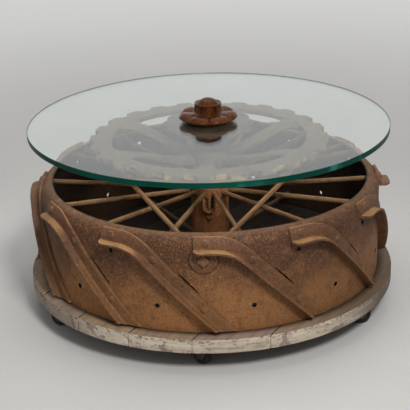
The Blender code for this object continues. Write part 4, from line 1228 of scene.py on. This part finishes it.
def make_castors():
    """Rubber tyres; the forks and the tie rod keep their CAD shapes."""
    half = TYRE_WIDTH / 2
    profile = [(AXLE_RADIUS + AXLE_CLEARANCE, -half)]
    profile += [(radius, -half + inset) for radius, inset in TYRE_FACE]
    profile += arc((TYRE_RADIUS - TYRE_EDGE, -half + TYRE_SHOULDER), TYRE_EDGE, -70.0, 0.0, 5)
    profile += [(TYRE_RADIUS, 0.0)]
    profile += [(radius, -height) for radius, height in reversed(profile[:-1])]
    for index in range(1, CASTOR_COUNT + 1):
        low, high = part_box(f"castor_wheel_{index}")
        axis = Vector(castor_joint(index, "roll")["axis"])
        matrix = bar_matrix((low + high) / 2, (low + high) / 2 + axis)
        mesh = make_mesh(moved(lathe(profile, TYRE_SEGMENTS), matrix))
        show(f"castor_tyre_{index}", mesh, [rubber_look], [f"castor_wheel_{index}"],
             f"castor_{index}_wheel")
        frame["nodes"][f"castor_fork_{index}"].material_slots[0].material = steel_look
    frame["nodes"]["tie_rod"].material_slots[0].material = steel_look


def make_stage():
    """A pale floor, soft lamps and a pale surrounding that gloss and glass show."""
    look = Shading("pale_floor")
    colour = look.mix(look.ramp(look.noise(1.5, 3.0, 0.5), 0.3, 0.7), (200, 198, 195), (204, 202, 199))
    far = look.ramp(look.radius(), 1.2, 4.5)
    colour = look.mix(far, colour, (238, 237, 235))
    glow = look.times(look.seen(), far)
    look.shader.inputs["Emission Color"].default_value = WHITE
    look.feed(look.shader.inputs["Emission Strength"], look.times(glow, FLOOR_GLOW))
    look.finish(colour, 0.8)
    floor_mesh = bpy.data.meshes.new("floor")
    reach = FLOOR_REACH
    corners = [(-reach, -reach, 0.0), (reach, -reach, 0.0), (reach, reach, 0.0), (-reach, reach, 0.0)]
    floor_mesh.from_pydata(corners, [], [(0, 1, 2, 3)])
    floor_mesh.materials.append(look.material)
    ground = add_object("floor", floor_mesh)

    for name, place, size, power in LAMPS:
        lamp = bpy.data.lights.new(name, "AREA")
        lamp.size = size
        lamp.energy = power
        holder = add_object(name, lamp)
        holder.location = place
        aim = Vector(LAMP_AIM) - Vector(place)
        holder.rotation_euler = aim.to_track_quat("-Z", "Y").to_euler()

    world = bpy.data.worlds.new("studio")
    bpy.context.scene.world = world
    world.use_nodes = True
    graph = Graph(world.node_tree)
    sky = graph.nodes["Background"].inputs
    sky["Color"].default_value = WHITE
    strength = {"Value": graph.seen(), "To Min": ROOM_LIGHT, "To Max": ROOM_SEEN}
    graph.feed(sky["Strength"], graph.add("MapRange", "Result", strength))


def make_camera():
    """A camera at the photo's place, aimed by its fitted angles."""
    down, left, roll = (radians(angle) for angle in (CAMERA_DOWN, CAMERA_LEFT, CAMERA_ROLL))
    forward = Vector((-sin(left) * cos(down), cos(left) * cos(down), -sin(down)))
    right = Vector((cos(left), sin(left), 0.0))
    up = right.cross(forward)
    level_right = cos(roll) * right + sin(roll) * up
    level_up = cos(roll) * up - sin(roll) * right
    camera = bpy.data.cameras.new("camera")
    camera.lens = LENS
    camera.sensor_width = SENSOR
    camera.clip_end = FAR_CLIP
    holder = add_object("camera", camera)
    axes = Matrix((level_right, level_up, -forward)).transposed()
    holder.matrix_world = Matrix.Translation(CAMERA_PLACE) @ axes.to_4x4()
    bpy.context.scene.camera = holder


make_camera()
make_stage()
make_rim()
make_grousers()
make_bolt()
make_bars()
make_hub()
make_gear()
make_seat()
make_glass()
make_cap()
make_planks()
make_castors()

bpy.context.scene.view_settings.view_transform = "Standard"
